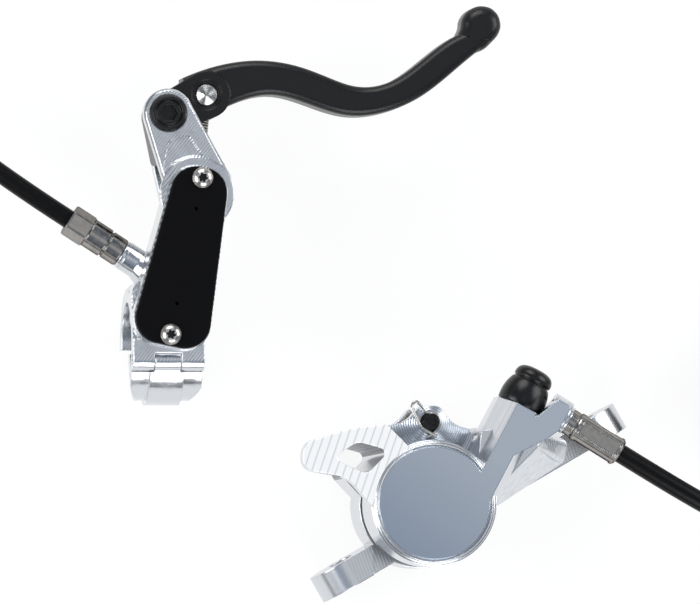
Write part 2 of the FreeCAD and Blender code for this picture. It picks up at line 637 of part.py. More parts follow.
def pivot_bushes():
    """Two plain bushes pressed into the blade's hub."""
    centre = leaned_point(PIVOT_ACROSS, PIVOT_ALONG, 0)
    inner = PIVOT_SHANK_RADIUS + PIN_CLEARANCE
    starts = (BORE_Z - HUB_HALF, BORE_Z + HUB_HALF - BUSH_LENGTH)
    return Part.makeCompound([ring(inner, BUSH_RADIUS, BUSH_LENGTH, centre + Z_AXIS * start, Z_AXIS)
                              for start in starts])


def pushrod_barrel():
    """Turned cross pin that carries the pushrod in the blade."""
    centre = leaned_point(BARREL_PIN_ACROSS, BARREL_PIN_ALONG, 0)
    low = BORE_Z - HUB_HALF
    high = BORE_Z + HUB_HALF - 0.4
    barrel = turned([(low, 0), (low, BARREL_PIN_RADIUS - 0.4), (low + 0.4, BARREL_PIN_RADIUS),
                     (high - 0.4, BARREL_PIN_RADIUS), (high, BARREL_PIN_RADIUS - 0.4), (high - 1.0, 0)],
                    centre, Z_AXIS)
    return barrel.cut(pushrod_line(PUSHROD_RADIUS + PIN_CLEARANCE, -FAR, FAR))


def pushrod_line(radius, start, end):
    """Cylinder on the pushrod's axis; distances run from the barrel towards the piston."""
    barrel = leaned_point(BARREL_PIN_ACROSS, BARREL_PIN_ALONG, BORE_Z)
    ball = leaned_point(0, BALL_ALONG, BORE_Z)
    axis = (ball - barrel).normalize()
    return rod(radius, barrel + axis * start, barrel + axis * end)


def pushrod():
    """Threaded rod with a ball end that pushes in the piston's cup."""
    barrel = leaned_point(BARREL_PIN_ACROSS, BARREL_PIN_ALONG, BORE_Z)
    ball = leaned_point(0, BALL_ALONG, BORE_Z)
    length = (ball - barrel).Length
    neck = 1.3
    profile = [(-2.2, 0), (-2.2, PUSHROD_RADIUS), (length - 6, PUSHROD_RADIUS), (length - 5, neck), (length, neck),
               (length, 0)]
    return turned(profile, barrel, ball - barrel).fuse(Part.makeSphere(PUSHROD_BALL_RADIUS, ball))


def seal_places():
    """Where the two master piston seals start, along the cylinder axis."""
    return (PISTON_FRONT + 1.4, PISTON_REAR - PISTON_CUP_DEPTH - SEAL_WIDTH - 2.2)


def master_piston():
    """Turned piston with two seal grooves, a waist and a cup for the rod."""
    radius = BORE_RADIUS - PISTON_CLEARANCE
    groove = BORE_RADIUS - SEAL_DEPTH
    front_seal, rear_seal = seal_places()
    profile = [
        (PISTON_FRONT, 0), (PISTON_FRONT, radius), (front_seal, radius), (front_seal, groove),
        (front_seal + SEAL_WIDTH, groove), (front_seal + SEAL_WIDTH, radius), (front_seal + SEAL_WIDTH + 1.2, radius),
        (front_seal + SEAL_WIDTH + 1.8, PISTON_WAIST_RADIUS), (rear_seal - 1.8, PISTON_WAIST_RADIUS),
        (rear_seal - 1.2, radius), (rear_seal, radius), (rear_seal, groove), (rear_seal + SEAL_WIDTH, groove),
        (rear_seal + SEAL_WIDTH, radius), (PISTON_REAR, radius), (PISTON_REAR, PISTON_CUP_RADIUS),
        (PISTON_REAR - PISTON_CUP_DEPTH + 1, PISTON_CUP_RADIUS), (PISTON_REAR - PISTON_CUP_DEPTH, 1.6),
        (PISTON_REAR - PISTON_CUP_DEPTH, 0),
    ]
    return leaned(turned(profile, on_bore(0), Y_AXIS))


def piston_seal(start):
    """Lip seal in one of the master piston's grooves."""
    inner = BORE_RADIUS - SEAL_DEPTH + 0.02
    outer = BORE_RADIUS - PISTON_CLEARANCE / 2
    profile = [(0.1, inner), (0.1, outer), (0.7, outer), (SEAL_WIDTH - 0.1, outer - 0.5), (SEAL_WIDTH - 0.1, inner)]
    return leaned(turned(profile, on_bore(start), Y_AXIS))


def piston_spring():
    """Return spring between the bore's end and the piston, wound in short straight steps."""
    first = BORE_START + SPRING_WIRE_RADIUS + 0.1
    length = PISTON_FRONT - BORE_START - 2 * SPRING_WIRE_RADIUS - 0.2
    steps = SPRING_TURNS * SPRING_STEPS
    points = []
    for step in range(steps + 1):
        around = heading(360 * step / SPRING_STEPS) * SPRING_RADIUS
        points.append(on_bore(first + length * step / steps) + FreeCAD.Vector(around.x, 0, around.y))
    section = Part.makePolygon([points[0] + X_AXIS * corner_x + Y_AXIS * corner_y
                                for corner_x, corner_y in square_corners(SPRING_WIRE_RADIUS)])
    return leaned(Part.makePolygon(points).makePipeShell([section], True, False, 1))


def square_corners(half):
    """Closed square about the origin."""
    return [(-half, -half), (half, -half), (half, half), (-half, half), (-half, -half)]


def piston_circlip():
    """Open spring ring that keeps the piston in its bore."""
    outer = BORE_RADIUS + CIRCLIP_GROOVE - 0.1
    clip = ring(CIRCLIP_INNER_RADIUS, outer, CIRCLIP_THICKNESS, on_bore(PISTON_REAR + 0.35), Y_AXIS)
    mouth = block(FreeCAD.Vector(-1.8, PISTON_REAR, BORE_Z - 2 * BORE_RADIUS),
                  FreeCAD.Vector(1.8, BORE_MOUTH, BORE_Z))
    return leaned(clip.cut(mouth))


def clamp_half():
    """Hinged front half of the clamp, with a raised rib and pocketed shoulders."""
    half_face = clamp_faces()[1]
    half_space = block(FreeCAD.Vector(-FAR, -FAR, -FAR), FreeCAD.Vector(FAR, half_face, FAR))
    taper_left = CLAMP_LEFT + CLAMP_TAPER
    taper_right = CLAMP_RIGHT - CLAMP_TAPER
    outline = slab([(CLAMP_LEFT, -FAR / 2, 0), (CLAMP_LEFT, -9.0, 2), (taper_left, -3.0, 2), (taper_left, FAR / 2, 0),
                    (taper_right, FAR / 2, 0), (taper_right, -3.0, 2), (CLAMP_RIGHT, -9.0, 2),
                    (CLAMP_RIGHT, -FAR / 2, 0)], -FAR / 2, FAR / 2)
    outline = outline.rotated(ORIGIN, X_AXIS, -90)
    half = clamp_tube(CLAMP_LEFT, CLAMP_RIGHT, CLAMP_RADIUS)
    half = half.fuse(clamp_tube(TONGUE_LEFT - 1.0, TONGUE_RIGHT + 1.0, CLAMP_RADIUS + CLAMP_RIB))
    half = half.common(half_space).common(outline)
    half = half.fuse(bolt_ear(half_face, half_face - CLAMP_EAR_REACH))
    ear_room = HINGE_RADIUS + 2 * PIECE_CLEARANCE
    half = half.cut([
        hinge_barrel(CLAMP_LEFT - 1, TONGUE_LEFT, ear_room),
        hinge_barrel(TONGUE_RIGHT, CLAMP_RIGHT + 1, ear_room),
    ])
    half = half.fuse(hinge_barrel(TONGUE_LEFT, TONGUE_RIGHT, HINGE_RADIUS))
    head_seat = half_face - CLAMP_EAR_REACH + CLAMP_BOLT_HEAD
    head_space = rod(CLAMP_BOLT_HEAD_RADIUS + PIECE_CLEARANCE, FreeCAD.Vector(CLAMP_MIDDLE_X, head_seat, CLAMP_BOLT_Z),
                     FreeCAD.Vector(CLAMP_MIDDLE_X, -FAR, CLAMP_BOLT_Z))
    half = half.cut([bar(0), hinge_barrel(-FAR, FAR, HINGE_PIN_RADIUS + PIN_CLEARANCE),
                     clamp_bolt_line(CLAMP_BOLT_RADIUS + PIECE_CLEARANCE), head_space])
    return half


def clamp_hinge_pin():
    """Pin that joins the clamp's two halves."""
    return hinge_barrel(CLAMP_LEFT + 0.5, CLAMP_RIGHT - 0.5, HINGE_PIN_RADIUS)


def clamp_bolt():
    """Socket-head bolt that closes the clamp under the bar."""
    body_face, half_face = clamp_faces()
    head_seat = half_face - CLAMP_EAR_REACH + CLAMP_BOLT_HEAD
    length = body_face + CLAMP_EAR_REACH - head_seat
    head = CLAMP_BOLT_HEAD
    start = FreeCAD.Vector(CLAMP_MIDDLE_X, head_seat, CLAMP_BOLT_Z)
    bolt = turned([(-head, 0), (-head, CLAMP_BOLT_HEAD_RADIUS - 0.5), (0.5 - head, CLAMP_BOLT_HEAD_RADIUS),
                   (0, CLAMP_BOLT_HEAD_RADIUS), (0, CLAMP_BOLT_RADIUS), (length, CLAMP_BOLT_RADIUS), (length, 0)],
                  start, Y_AXIS)
    return bolt.cut(hexagon(4.0, start - Y_AXIS * (head + 0.5), Y_AXIS, 3.0))


def connector(start, angle, depth, radius, collar, length):
    """Hose connector: threaded nose in the socket, grooved collar and a sleeve with spanner flats."""
    nose = depth - OLIVE_LENGTH
    groove = 0.4
    near = WASHER_THICKNESS
    sleeve = near + collar + groove
    profile = [(-nose, OUTLET_RADIUS), (-nose, SOCKET_RADIUS - PIN_CLEARANCE), (near, SOCKET_RADIUS - PIN_CLEARANCE),
               (near, radius - 0.3), (near + collar, radius - 0.3), (near + collar, radius - 0.8),
               (sleeve, radius - 0.8), (sleeve, radius - 0.2), (sleeve + 0.4, radius), (near + length - 0.6, radius),
               (near + length, radius - 0.6), (near + length, OUTLET_RADIUS)]
    piece = turned(profile, start, heading(angle))
    flat_start = start + heading(angle) * (sleeve + 1.4)
    flat_end = start + heading(angle) * (near + length - 1.2)
    flat_height = radius - 0.5
    flats = []
    for turn in range(0, 360, 90):
        flat = block(FreeCAD.Vector(0, -1.6, flat_height),
                     FreeCAD.Vector((flat_end - flat_start).Length, 1.6, radius + 1))
        flat = flat.rotated(ORIGIN, X_AXIS, turn)
        flat.Placement = FreeCAD.Placement(flat_start, FreeCAD.Rotation(Z_AXIS, angle)).multiply(flat.Placement)
        flats.append(flat)
    return piece.cut(flats)


def seal_washer(start, angle):
    """Soft washer between a hose connector and its boss."""
    return ring(SOCKET_RADIUS, WASHER_RADIUS, WASHER_THICKNESS, start, heading(angle))


def olive(start, angle, depth):
    """Compression ring at the bottom of a hose socket."""
    base = start - heading(angle) * depth
    radius = SOCKET_RADIUS - PIN_CLEARANCE
    return turned([(0, OLIVE_BORE_RADIUS), (0, radius - 0.6), (0.6, radius), (OLIVE_LENGTH - 0.6, radius),
                   (OLIVE_LENGTH, radius - 0.6), (OLIVE_LENGTH, OLIVE_BORE_RADIUS)], base, heading(angle))


def boss_cylinder():
    """Round body of the caliper, with the ringed outer face."""
    half = CALIPER_HALF_HEIGHT
    groove = FACE_GROOVE_RADIUS
    return turned([(-half, 0), (-half, BOSS_RADIUS - BOSS_CHAMFER), (BOSS_CHAMFER - half, BOSS_RADIUS),
                   (half - BOSS_CHAMFER, BOSS_RADIUS), (half - 0.3, BOSS_RADIUS - BOSS_CHAMFER),
                   (half - 0.3, groove + FACE_GROOVE), (half - FACE_GROOVE - 0.3, groove + FACE_GROOVE),
                   (half - FACE_GROOVE - 0.3, groove), (half, groove), (half, 0)], ORIGIN, Z_AXIS)


def wing():
    """Stiffening wing of the outer half, with its lightening hole."""
    top = CALIPER_HALF_HEIGHT - WING_DROP
    plate = slab([(-14.5, -3.0, 0), (-22.5, 6.6, 9), (-34.6, 8.6, 3.4), (-34.2, 15.6, 4), (-22.0, 19.2, 12),
                  (-12.6, 20.4, 0), (-4.0, 12.0, 0), (-4.0, -3.0, 0)], top - WING_THICKNESS, top)
    hole = slab([(-27.0, 11.6, 1.6), (-20.0, 15.8, 3), (-11.6, 13.6, 1.6), (-17.6, 7.4, 2.4)], -FAR, FAR)
    return plate, hole


def bleed_tower():
    """Bevelled tower beside the boss that carries the bleed nipple."""
    face = PORT_DROP
    section = [(-TOWER_HALF_WIDTH, 0.5), (-1.7, face), (3.8, face), (TOWER_HALF_WIDTH, face - 3.6),
               (TOWER_HALF_WIDTH, -8.0), (-TOWER_HALF_WIDTH, -8.0)]
    points = [FreeCAD.Vector(across, 0, height) for across, height in section]
    tower = Part.Face(Part.makePolygon(points + points[:1])).extrude(Y_AXIS * (TOWER_LENGTH - 6))
    tower.Placement = FreeCAD.Placement(tower_point(6), FreeCAD.Rotation(Z_AXIS, TOWER_ANGLE - 90))
    return tower


def port_block():
    """Block on the tower's flank that takes the hose connector."""
    outline = [(20.0, 12.0, 0), (29.6, 16.8, 2), (PORT_X - 2.9, PORT_Y - 3.5, 0), (PORT_X + 0.6, PORT_Y + 2.8, 0.8),
               (PORT_X - 2.9, PORT_Y + 4.7, 0.8), (27.0, 22.6, 0), (20.0, 22.0, 0)]
    body = slab(outline, PORT_Z - 5.0, CALIPER_HALF_HEIGHT)
    spigot = rod(4.6, port_point(-PORT_SOCKET_DEPTH), port_point(0))
    return body.fuse(spigot)


def shoulder():
    """Sloping shoulder from the tower down to the upper ear, which joins the two halves."""
    foot = [(11.0, -1.0, 0), (18.6, -0.6, 2), (28.7, 6.0, 6), (36.6, 11.2, 2), (37.8, 16.6, 2), (28.0, 21.0, 3),
            (12.8, 20.0, 0)]
    crown = [(11.0, 1.0, 0), (15.4, 2.0, 1), (22.0, 9.0, 3), (28.0, 15.0, 1), (27.0, 18.0, 1), (22.0, 20.0, 2),
             (12.8, 19.0, 0)]
    waist = 4.0
    crest = CALIPER_HALF_HEIGHT - 4.0
    base = slab(foot, -CALIPER_HALF_HEIGHT, waist)
    slope = Part.makeLoft([rounded_face(foot, waist).OuterWire, rounded_face(crown, crest).OuterWire], True, True)
    return base.fuse(slope)


def left_bridge():
    """Wall under the wing that joins the two halves beside the pads."""
    return slab([(-6.0, 2.0, 0), (-15.0, 1.0, 0), (-21.5, 8.0, 3), (-19.0, 18.4, 3), (-12.8, 19.6, 0), (-6.0, 12.0, 0)],
                -CALIPER_HALF_HEIGHT, CALIPER_HALF_HEIGHT - WING_DROP - 1)


def pin_lugs():
    """Two flared lugs that hold the pad pin, one in each half."""
    outline = [(-13.0, 9.0, 0), (-13.0, 20.0, 1), (-5.6, 21.2, 8), (-2.6, PAD_PIN_Y + LUG_RADIUS, 2.4),
               (2.6, PAD_PIN_Y + LUG_RADIUS, 2.4), (6.0, 20.6, 8), (11.0, 19.6, 1), (13.4, 9.0, 0)]
    pin_foot = FreeCAD.Vector(0, PAD_PIN_Y, POCKET_HALF + LUG_EDGE)
    rise = Part.makeCone(LUG_CONE_RADIUS, LUG_RADIUS - 1.2, LUG_THICKNESS - LUG_EDGE, pin_foot)
    rise = rise.common(slab(outline, POCKET_HALF, FAR))
    return [slab(outline, POCKET_HALF, POCKET_HALF + LUG_EDGE), rise,
            slab(outline, -POCKET_HALF - LUG_THICKNESS, -POCKET_HALF)]


def post_ears():
    """Ear plate with rounded ends and two slots for the post bolts."""
    height_middle = -CALIPER_HALF_HEIGHT + POST_EAR_RADIUS
    ends = (EAR_MIDDLE_ALONG - POST_SPACING / 2, EAR_MIDDLE_ALONG + POST_SPACING / 2)
    low = EAR_MIDDLE_ACROSS - POST_EAR_THICKNESS / 2
    high = EAR_MIDDLE_ACROSS + POST_EAR_THICKNESS / 2
    plate = block(FreeCAD.Vector(ends[0], low, height_middle - POST_EAR_RADIUS),
                  FreeCAD.Vector(ends[1], high, height_middle + POST_EAR_RADIUS))
    slots = []
    for end in ends:
        centre = FreeCAD.Vector(end, low, height_middle)
        plate = plate.fuse(rod(POST_EAR_RADIUS, centre, centre + Y_AXIS * POST_EAR_THICKNESS))
        rise = Z_AXIS * (POST_SLOT_LENGTH / 2 - POST_SLOT_RADIUS)
        start = centre - Y_AXIS * FAR / 4
        slot = block(start - rise - X_AXIS * POST_SLOT_RADIUS,
                     start + rise + X_AXIS * POST_SLOT_RADIUS + Y_AXIS * FAR / 2)
        for lift in (rise, rise * -1):
            slot = slot.fuse(rod(POST_SLOT_RADIUS, start + lift, start + lift + Y_AXIS * FAR / 2))
        slots.append(slot.rotated(ORIGIN, Z_AXIS, EAR_LINE_ANGLE))
    return plate.rotated(ORIGIN, Z_AXIS, EAR_LINE_ANGLE), slots


def fluid_drillings():
    """Drillings from the hose port past the bleed screw to both bores, round the edge of the disc."""
    junction = tower_point(CROSS_DRILLING_ALONG)
    drop = Z_AXIS * -2 * PORT_Z
    return [
        rod(OUTLET_RADIUS, port_point(-PORT_SOCKET_DEPTH + 1), junction),
        rod(OUTLET_RADIUS, tower_point(6), tower_point(TOWER_LENGTH)),
        rod(OUTLET_RADIUS, junction, junction + drop),
        rod(OUTLET_RADIUS, junction + drop, tower_point(6) + drop),
    ]


def caliper_body():
    """One-piece machined body with bores, disc slot, pad pocket, wing, lugs, tower, port and ears."""
    half = CALIPER_HALF_HEIGHT
    wing_plate, wing_hole = wing()
    ears, ear_slots = post_ears()
    left_wall = left_bridge().cut(wing_hole)
    body = boss_cylinder().fuse([wing_plate, left_wall, shoulder(), bleed_tower(), port_block(), ears] + pin_lugs())
    hub = FreeCAD.Vector(0, DISC_REACH - DISC_RADIUS, -DISC_SLOT_HALF)
    seal_groove = PISTON_RADIUS + PISTON_SEAL_DEPTH
    seal_start = PISTON_FACE + PISTON_SEAL_INSET
    bore = PISTON_RADIUS + PIN_CLEARANCE
    cap_seat = half - BORE_CAP_THICKNESS - BORE_CAP_SEAL
    return at_caliper(body.cut([
        Part.makeCylinder(DISC_RADIUS + DISC_EDGE_ROOM, 2 * DISC_SLOT_HALF, hub),
        block(FreeCAD.Vector(-POCKET_HALF_WIDTH, -FAR, -POCKET_HALF),
              FreeCAD.Vector(POCKET_HALF_WIDTH, FAR, POCKET_HALF)),
        rod(bore, Z_AXIS * -cap_seat, Z_AXIS * BORE_END),
        rod(BORE_CAP_RADIUS, Z_AXIS * -FAR, Z_AXIS * -cap_seat),
        rod(seal_groove, Z_AXIS * seal_start, Z_AXIS * (seal_start + PISTON_SEAL_WIDTH)),
        rod(seal_groove, Z_AXIS * -(seal_start + PISTON_SEAL_WIDTH), Z_AXIS * -seal_start),
        wing_hole.cut(rod(BOSS_RADIUS, Z_AXIS * -FAR, Z_AXIS * FAR)),
        rod(PAD_PIN_RADIUS + PIN_CLEARANCE, FreeCAD.Vector(0, PAD_PIN_Y, -FAR), FreeCAD.Vector(0, PAD_PIN_Y, FAR)),
        rod(SOCKET_RADIUS, port_point(-PORT_SOCKET_DEPTH), port_point(1)),
        rod(SOCKET_RADIUS, tower_point(TOWER_LENGTH - SOCKET_DEPTH), tower_point(TOWER_LENGTH + 1)),
        rod(BLEED_CAP_RADIUS + 4 * PIECE_CLEARANCE, tower_point(TOWER_LENGTH), tower_point(FAR)),
    ] + fluid_drillings() + ear_slots))


def caliper_piston(side):
    """Cup-shaped piston, open towards the pad; side is 1 for the outer half and -1 for the inner."""
    length = CALIPER_PISTON_LENGTH
    inner = PISTON_RADIUS - CALIPER_PISTON_WALL
    profile = [(0, inner), (0, PISTON_RADIUS), (length - 0.8, PISTON_RADIUS), (length, PISTON_RADIUS - 0.8),
               (length, 0), (3.0, 0), (3.0, inner)]
    return at_caliper(turned(profile, Z_AXIS * side * PISTON_FACE, Z_AXIS * side))


def caliper_seal(side):
    """Square-section seal in a caliper bore's groove."""
    start = PISTON_FACE + PISTON_SEAL_INSET + 0.1
    seal = ring(PISTON_RADIUS + PIN_CLEARANCE, PISTON_RADIUS + PISTON_SEAL_DEPTH - 0.05, PISTON_SEAL_WIDTH - 0.2,
                Z_AXIS * side * start, Z_AXIS * side)
    return at_caliper(seal)


def bore_cap():
    """Screwed plug that closes the inner bore, with six spanner notches."""
    outer = CALIPER_HALF_HEIGHT
    cap = turned([(0, 0), (0, BORE_CAP_RADIUS - 0.6), (0.5, BORE_CAP_RADIUS - 0.05),
                  (BORE_CAP_THICKNESS, BORE_CAP_RADIUS - 0.05), (BORE_CAP_THICKNESS, 0)], Z_AXIS * -outer, Z_AXIS)
    notches = [rod(1.3, heading(60 * index) * 9.0 - Z_AXIS * (outer + 1), heading(60 * index) * 9.0 - Z_AXIS * (outer - 1.2))
               for index in range(6)]
    return at_caliper(cap.cut(notches))


def bore_cap_seal():
    """Ring under the bore cap."""
    start = Z_AXIS * (BORE_CAP_THICKNESS - CALIPER_HALF_HEIGHT)
    return at_caliper(ring(PISTON_RADIUS + 0.3, BORE_CAP_RADIUS - 0.2, BORE_CAP_SEAL, start, Z_AXIS))


def pad_outline(inset):
    """Outline of a brake pad below its tab."""
    half = PAD_HALF_WIDTH - inset
    return [(-half, PAD_LOW + inset, 4), (half, PAD_LOW + inset, 4), (half, PAD_HIGH - inset, 2),
            (-half, PAD_HIGH - inset, 2)]


def pad_plate(side):
    """Steel backing plate whose tab hangs on the pad pin."""
    low = PLATE_FACE if side > 0 else -PISTON_FACE
    high = low + PLATE_THICKNESS
    tab = [(-PAD_TAB_HALF - 2, PAD_HIGH - 3, 0), (PAD_TAB_HALF + 2, PAD_HIGH - 3, 0),
           (PAD_TAB_HALF, PAD_PIN_Y + LUG_RADIUS - 0.6, 3.6), (-PAD_TAB_HALF, PAD_PIN_Y + LUG_RADIUS - 0.6, 3.6)]
    hole = rod(PAD_PIN_RADIUS + 0.25, FreeCAD.Vector(0, PAD_PIN_Y, -FAR), FreeCAD.Vector(0, PAD_PIN_Y, FAR))
    return at_caliper(slab(pad_outline(0), low, high).fuse(slab(tab, low, high)).cut(hole))


def pad_lining(side):
    """Friction lining bonded to a backing plate, with one dust groove."""
    low = PAD_HALF_GAP if side > 0 else -PLATE_FACE
    lining = slab(pad_outline(0.8), low, low + LINING_THICKNESS)
    groove_low = PAD_HALF_GAP - 1 if side > 0 else -PAD_HALF_GAP - 1
    groove = block(FreeCAD.Vector(-0.8, -FAR, groove_low), FreeCAD.Vector(0.8, FAR, groove_low + 2))
    return at_caliper(lining.cut(groove))


def pad_spring():
    """Leaf spring that hangs on the pad pin between the two plates."""
    reach = PLATE_FACE - PAD_SPRING_ROOM
    thickness = PAD_SPRING_THICKNESS
    top = PAD_PIN_Y + PAD_PIN_RADIUS + 0.1
    crown = block(FreeCAD.Vector(-3, top, -reach), FreeCAD.Vector(3, top + thickness, reach))
    legs = []
    for side in (-1, 1):
        near = sorted((side * reach, side * (reach - thickness)))
        for left in (-7.5, 4.5):
            legs.append(block(FreeCAD.Vector(left, PAD_HIGH + 0.6, near[0]),
                              FreeCAD.Vector(left + 3.0, PAD_PIN_Y - 3.4, near[1])))
        legs.append(block(FreeCAD.Vector(-7.5, PAD_PIN_Y - 5.6, near[0]), FreeCAD.Vector(7.5, PAD_PIN_Y - 3.4, near[1])))
        legs.append(block(FreeCAD.Vector(-3, PAD_PIN_Y - 5.6, near[0]), FreeCAD.Vector(3, top + thickness, near[1])))
    spring = crown.fuse(legs)
    room = rod(PAD_PIN_RADIUS + 0.1, FreeCAD.Vector(0, PAD_PIN_Y, -FAR), FreeCAD.Vector(0, PAD_PIN_Y, FAR))
    return at_caliper(spring.cut(room))


def pad_pin():
    """Hex-socket pin through both lugs and both pads, cross-drilled for its clip."""
    low = -POCKET_HALF - LUG_THICKNESS
    base = FreeCAD.Vector(0, PAD_PIN_Y, 0)
    shelf = POCKET_HALF + LUG_THICKNESS
    pin = turned([(low, 0), (low, PAD_PIN_RADIUS - 0.4), (low + 0.4, PAD_PIN_RADIUS), (shelf, PAD_PIN_RADIUS),
                  (shelf, PAD_PIN_RADIUS + PAD_PIN_RING), (shelf + 0.6, PAD_PIN_RADIUS + PAD_PIN_RING),
                  (shelf + 0.6, PAD_PIN_RADIUS), (CLIP_HEIGHT - 0.5, PAD_PIN_RADIUS),
                  (CLIP_HEIGHT - 0.5, PAD_PIN_NECK), (CLIP_HEIGHT + 0.5, PAD_PIN_NECK),
                  (CLIP_HEIGHT + 0.5, PAD_PIN_RADIUS), (PAD_PIN_TOP, PAD_PIN_RADIUS), (PAD_PIN_TOP, 0)], base, Z_AXIS)
    return at_caliper(pin.cut(hexagon(2.5, base + Z_AXIS * (PAD_PIN_TOP - 0.9), Z_AXIS, 2)))


def pad_pin_clip():
    """Bent wire clip: it springs round the pin's neck, with a finger bow and two crossed ends."""
    pin = FreeCAD.Vector(0, PAD_PIN_Y, CLIP_HEIGHT)
    path = [pin + FreeCAD.Vector(across, along, lift) for across, along, lift in CLIP_BENDS]
    return at_caliper(bent_tube(path, CLIP_WIRE_RADIUS)[0])


def bleed_nipple():
    """Bleed screw in the tower, with a hexagon and a nipple under its cap."""
    axis = heading(TOWER_ANGLE)
    start = tower_point(TOWER_LENGTH)
    screw = turned([(-6.0, OUTLET_RADIUS), (-6.0, SOCKET_RADIUS - PIN_CLEARANCE), (0.4, SOCKET_RADIUS - PIN_CLEARANCE),
                    (0.4, 2.2), (4.2, 2.2), (4.6, 2.6), (6.4, 1.8), (6.4, OUTLET_RADIUS)], start, axis)
    nut = hexagon(6.0, start + axis * 0.4, axis, 2.2)
    return at_caliper(screw.fuse(nut.cut(rod(OUTLET_RADIUS, start, start + axis * 5))))


def bleed_cap():
    """Domed rubber cap over the bleed nipple, with a finger groove."""
    radius = BLEED_CAP_RADIUS
    length = BLEED_CAP_LENGTH
    inner = radius - BLEED_CAP_WALL
    profile = [(0, inner), (0, radius), (1.6, radius + 0.3), (3.0, radius + 0.25), (4.4, radius - 0.2),
               (5.6, radius - 0.9), (6.4, radius - 1.5), (6.5, radius - 1.9), (7.0, radius - 1.9), (7.1, radius - 1.0),
               (8.6, radius - 1.1), (9.5, radius - 1.7), (10.1, radius - 2.8), (length, radius - 3.8), (length, 0),
               (length - 2.4, 0), (length - 2.4, 3.2), (5.4, 3.2), (3.2, inner)]
    return at_caliper(turned(profile, tower_point(TOWER_LENGTH), heading(TOWER_ANGLE)))


def lever_hose_route():
    """Places of the hose from the lever's connector to the bottom of the coil."""
    exit_point = boss_point(HOSE_BOSS_LENGTH + WASHER_THICKNESS + LEVER_CONNECTOR_LENGTH)
    return [exit_point] + [FreeCAD.Vector(x, y, HOSE_TABLE_Z + lift) for x, y, lift in LEVER_HOSE_PLACES]


def caliper_hose_route():
    """Places of the hose from the caliper's connector to the top of the coil."""
    exit_point = at_caliper_point(port_point(WASHER_THICKNESS + CALIPER_CONNECTOR_LENGTH))
    return [exit_point] + [FreeCAD.Vector(x, y, COIL_Z_HIGH + lift) for x, y, lift in CALIPER_HOSE_PLACES]


def at_caliper_point(point):
    """Takes a point from the caliper's own frame to the part's frame."""
    return point + FreeCAD.Vector(CALIPER_X, CALIPER_Y, CALIPER_Z)


def bent_tube(route, radius):
    """Round tube along straight runs joined by tangent arcs, with its arcs' radii and its length."""
    edges = []
    radii = []
    start = route[0]
    for before, corner, after in zip(route, route[1:], route[2:]):
        back = (before - corner).normalize()
        ahead = (after - corner).normalize()
        half = (math.pi - back.getAngle(ahead)) / 2
        reach = RUN_SHARE * min((before - corner).Length, (after - corner).Length)
        bend = reach / math.tan(half)
        middle = (back + ahead).normalize()
        arc_start = corner + back * reach
        arc_end = corner + ahead * reach
        crown = corner + middle * (math.hypot(reach, bend) - bend)
        edges.append(Part.LineSegment(start, arc_start).toShape())
        edges.append(Part.Arc(arc_start, crown, arc_end).toShape())
        radii.append(round(bend, 1))
        start = arc_end
    edges.append(Part.LineSegment(start, route[-1]).toShape())
    path = Part.Wire(edges)
    section = Part.Wire(Part.makeCircle(radius, route[0], route[1] - route[0]))
    return path.makePipeShell([section], True, True), radii, path.Length


def hose_tube(name, route):
    """One run of the hose; prints its bends, its length and its volume against section times length."""
    tube, radii, length = bent_tube(route, HOSE_RADIUS)
    share = tube.Volume / (math.pi * HOSE_RADIUS ** 2 * length)
    print(name, "radii", radii, "length", round(length, 1), "volume share", round(share, 4))
    return tube


def hose_coil():
    """Outer shape of the put-away turns of the hose."""
    low = COIL_Z_LOW - HOSE_RADIUS
    centre = FreeCAD.Vector(COIL_X, COIL_Y, low)
    height = COIL_Z_HIGH + HOSE_RADIUS - low
    return ring(COIL_RADIUS - HOSE_RADIUS, COIL_RADIUS + HOSE_RADIUS, height, centre, Z_AXIS)


def hose_tie():
    """Strap round the coil's turns, on the side away from the hose ends."""
    low = FreeCAD.Vector(COIL_X - COIL_RADIUS - HOSE_RADIUS, COIL_Y - TIE_WIDTH / 2, COIL_Z_LOW - HOSE_RADIUS)
    high = FreeCAD.Vector(COIL_X - COIL_RADIUS + HOSE_RADIUS, COIL_Y + TIE_WIDTH / 2, COIL_Z_HIGH + HOSE_RADIUS)
    bow = COIL_RADIUS + HOSE_RADIUS - math.hypot(COIL_RADIUS + HOSE_RADIUS, 0)
    grow = FreeCAD.Vector(TIE_THICKNESS, 0, TIE_THICKNESS)
    inner_room = FreeCAD.Vector(0.3 + bow, 0, 0)
    return block(low - grow, high + grow + inner_room).cut(block(low - Y_AXIS, high + Y_AXIS + inner_room))


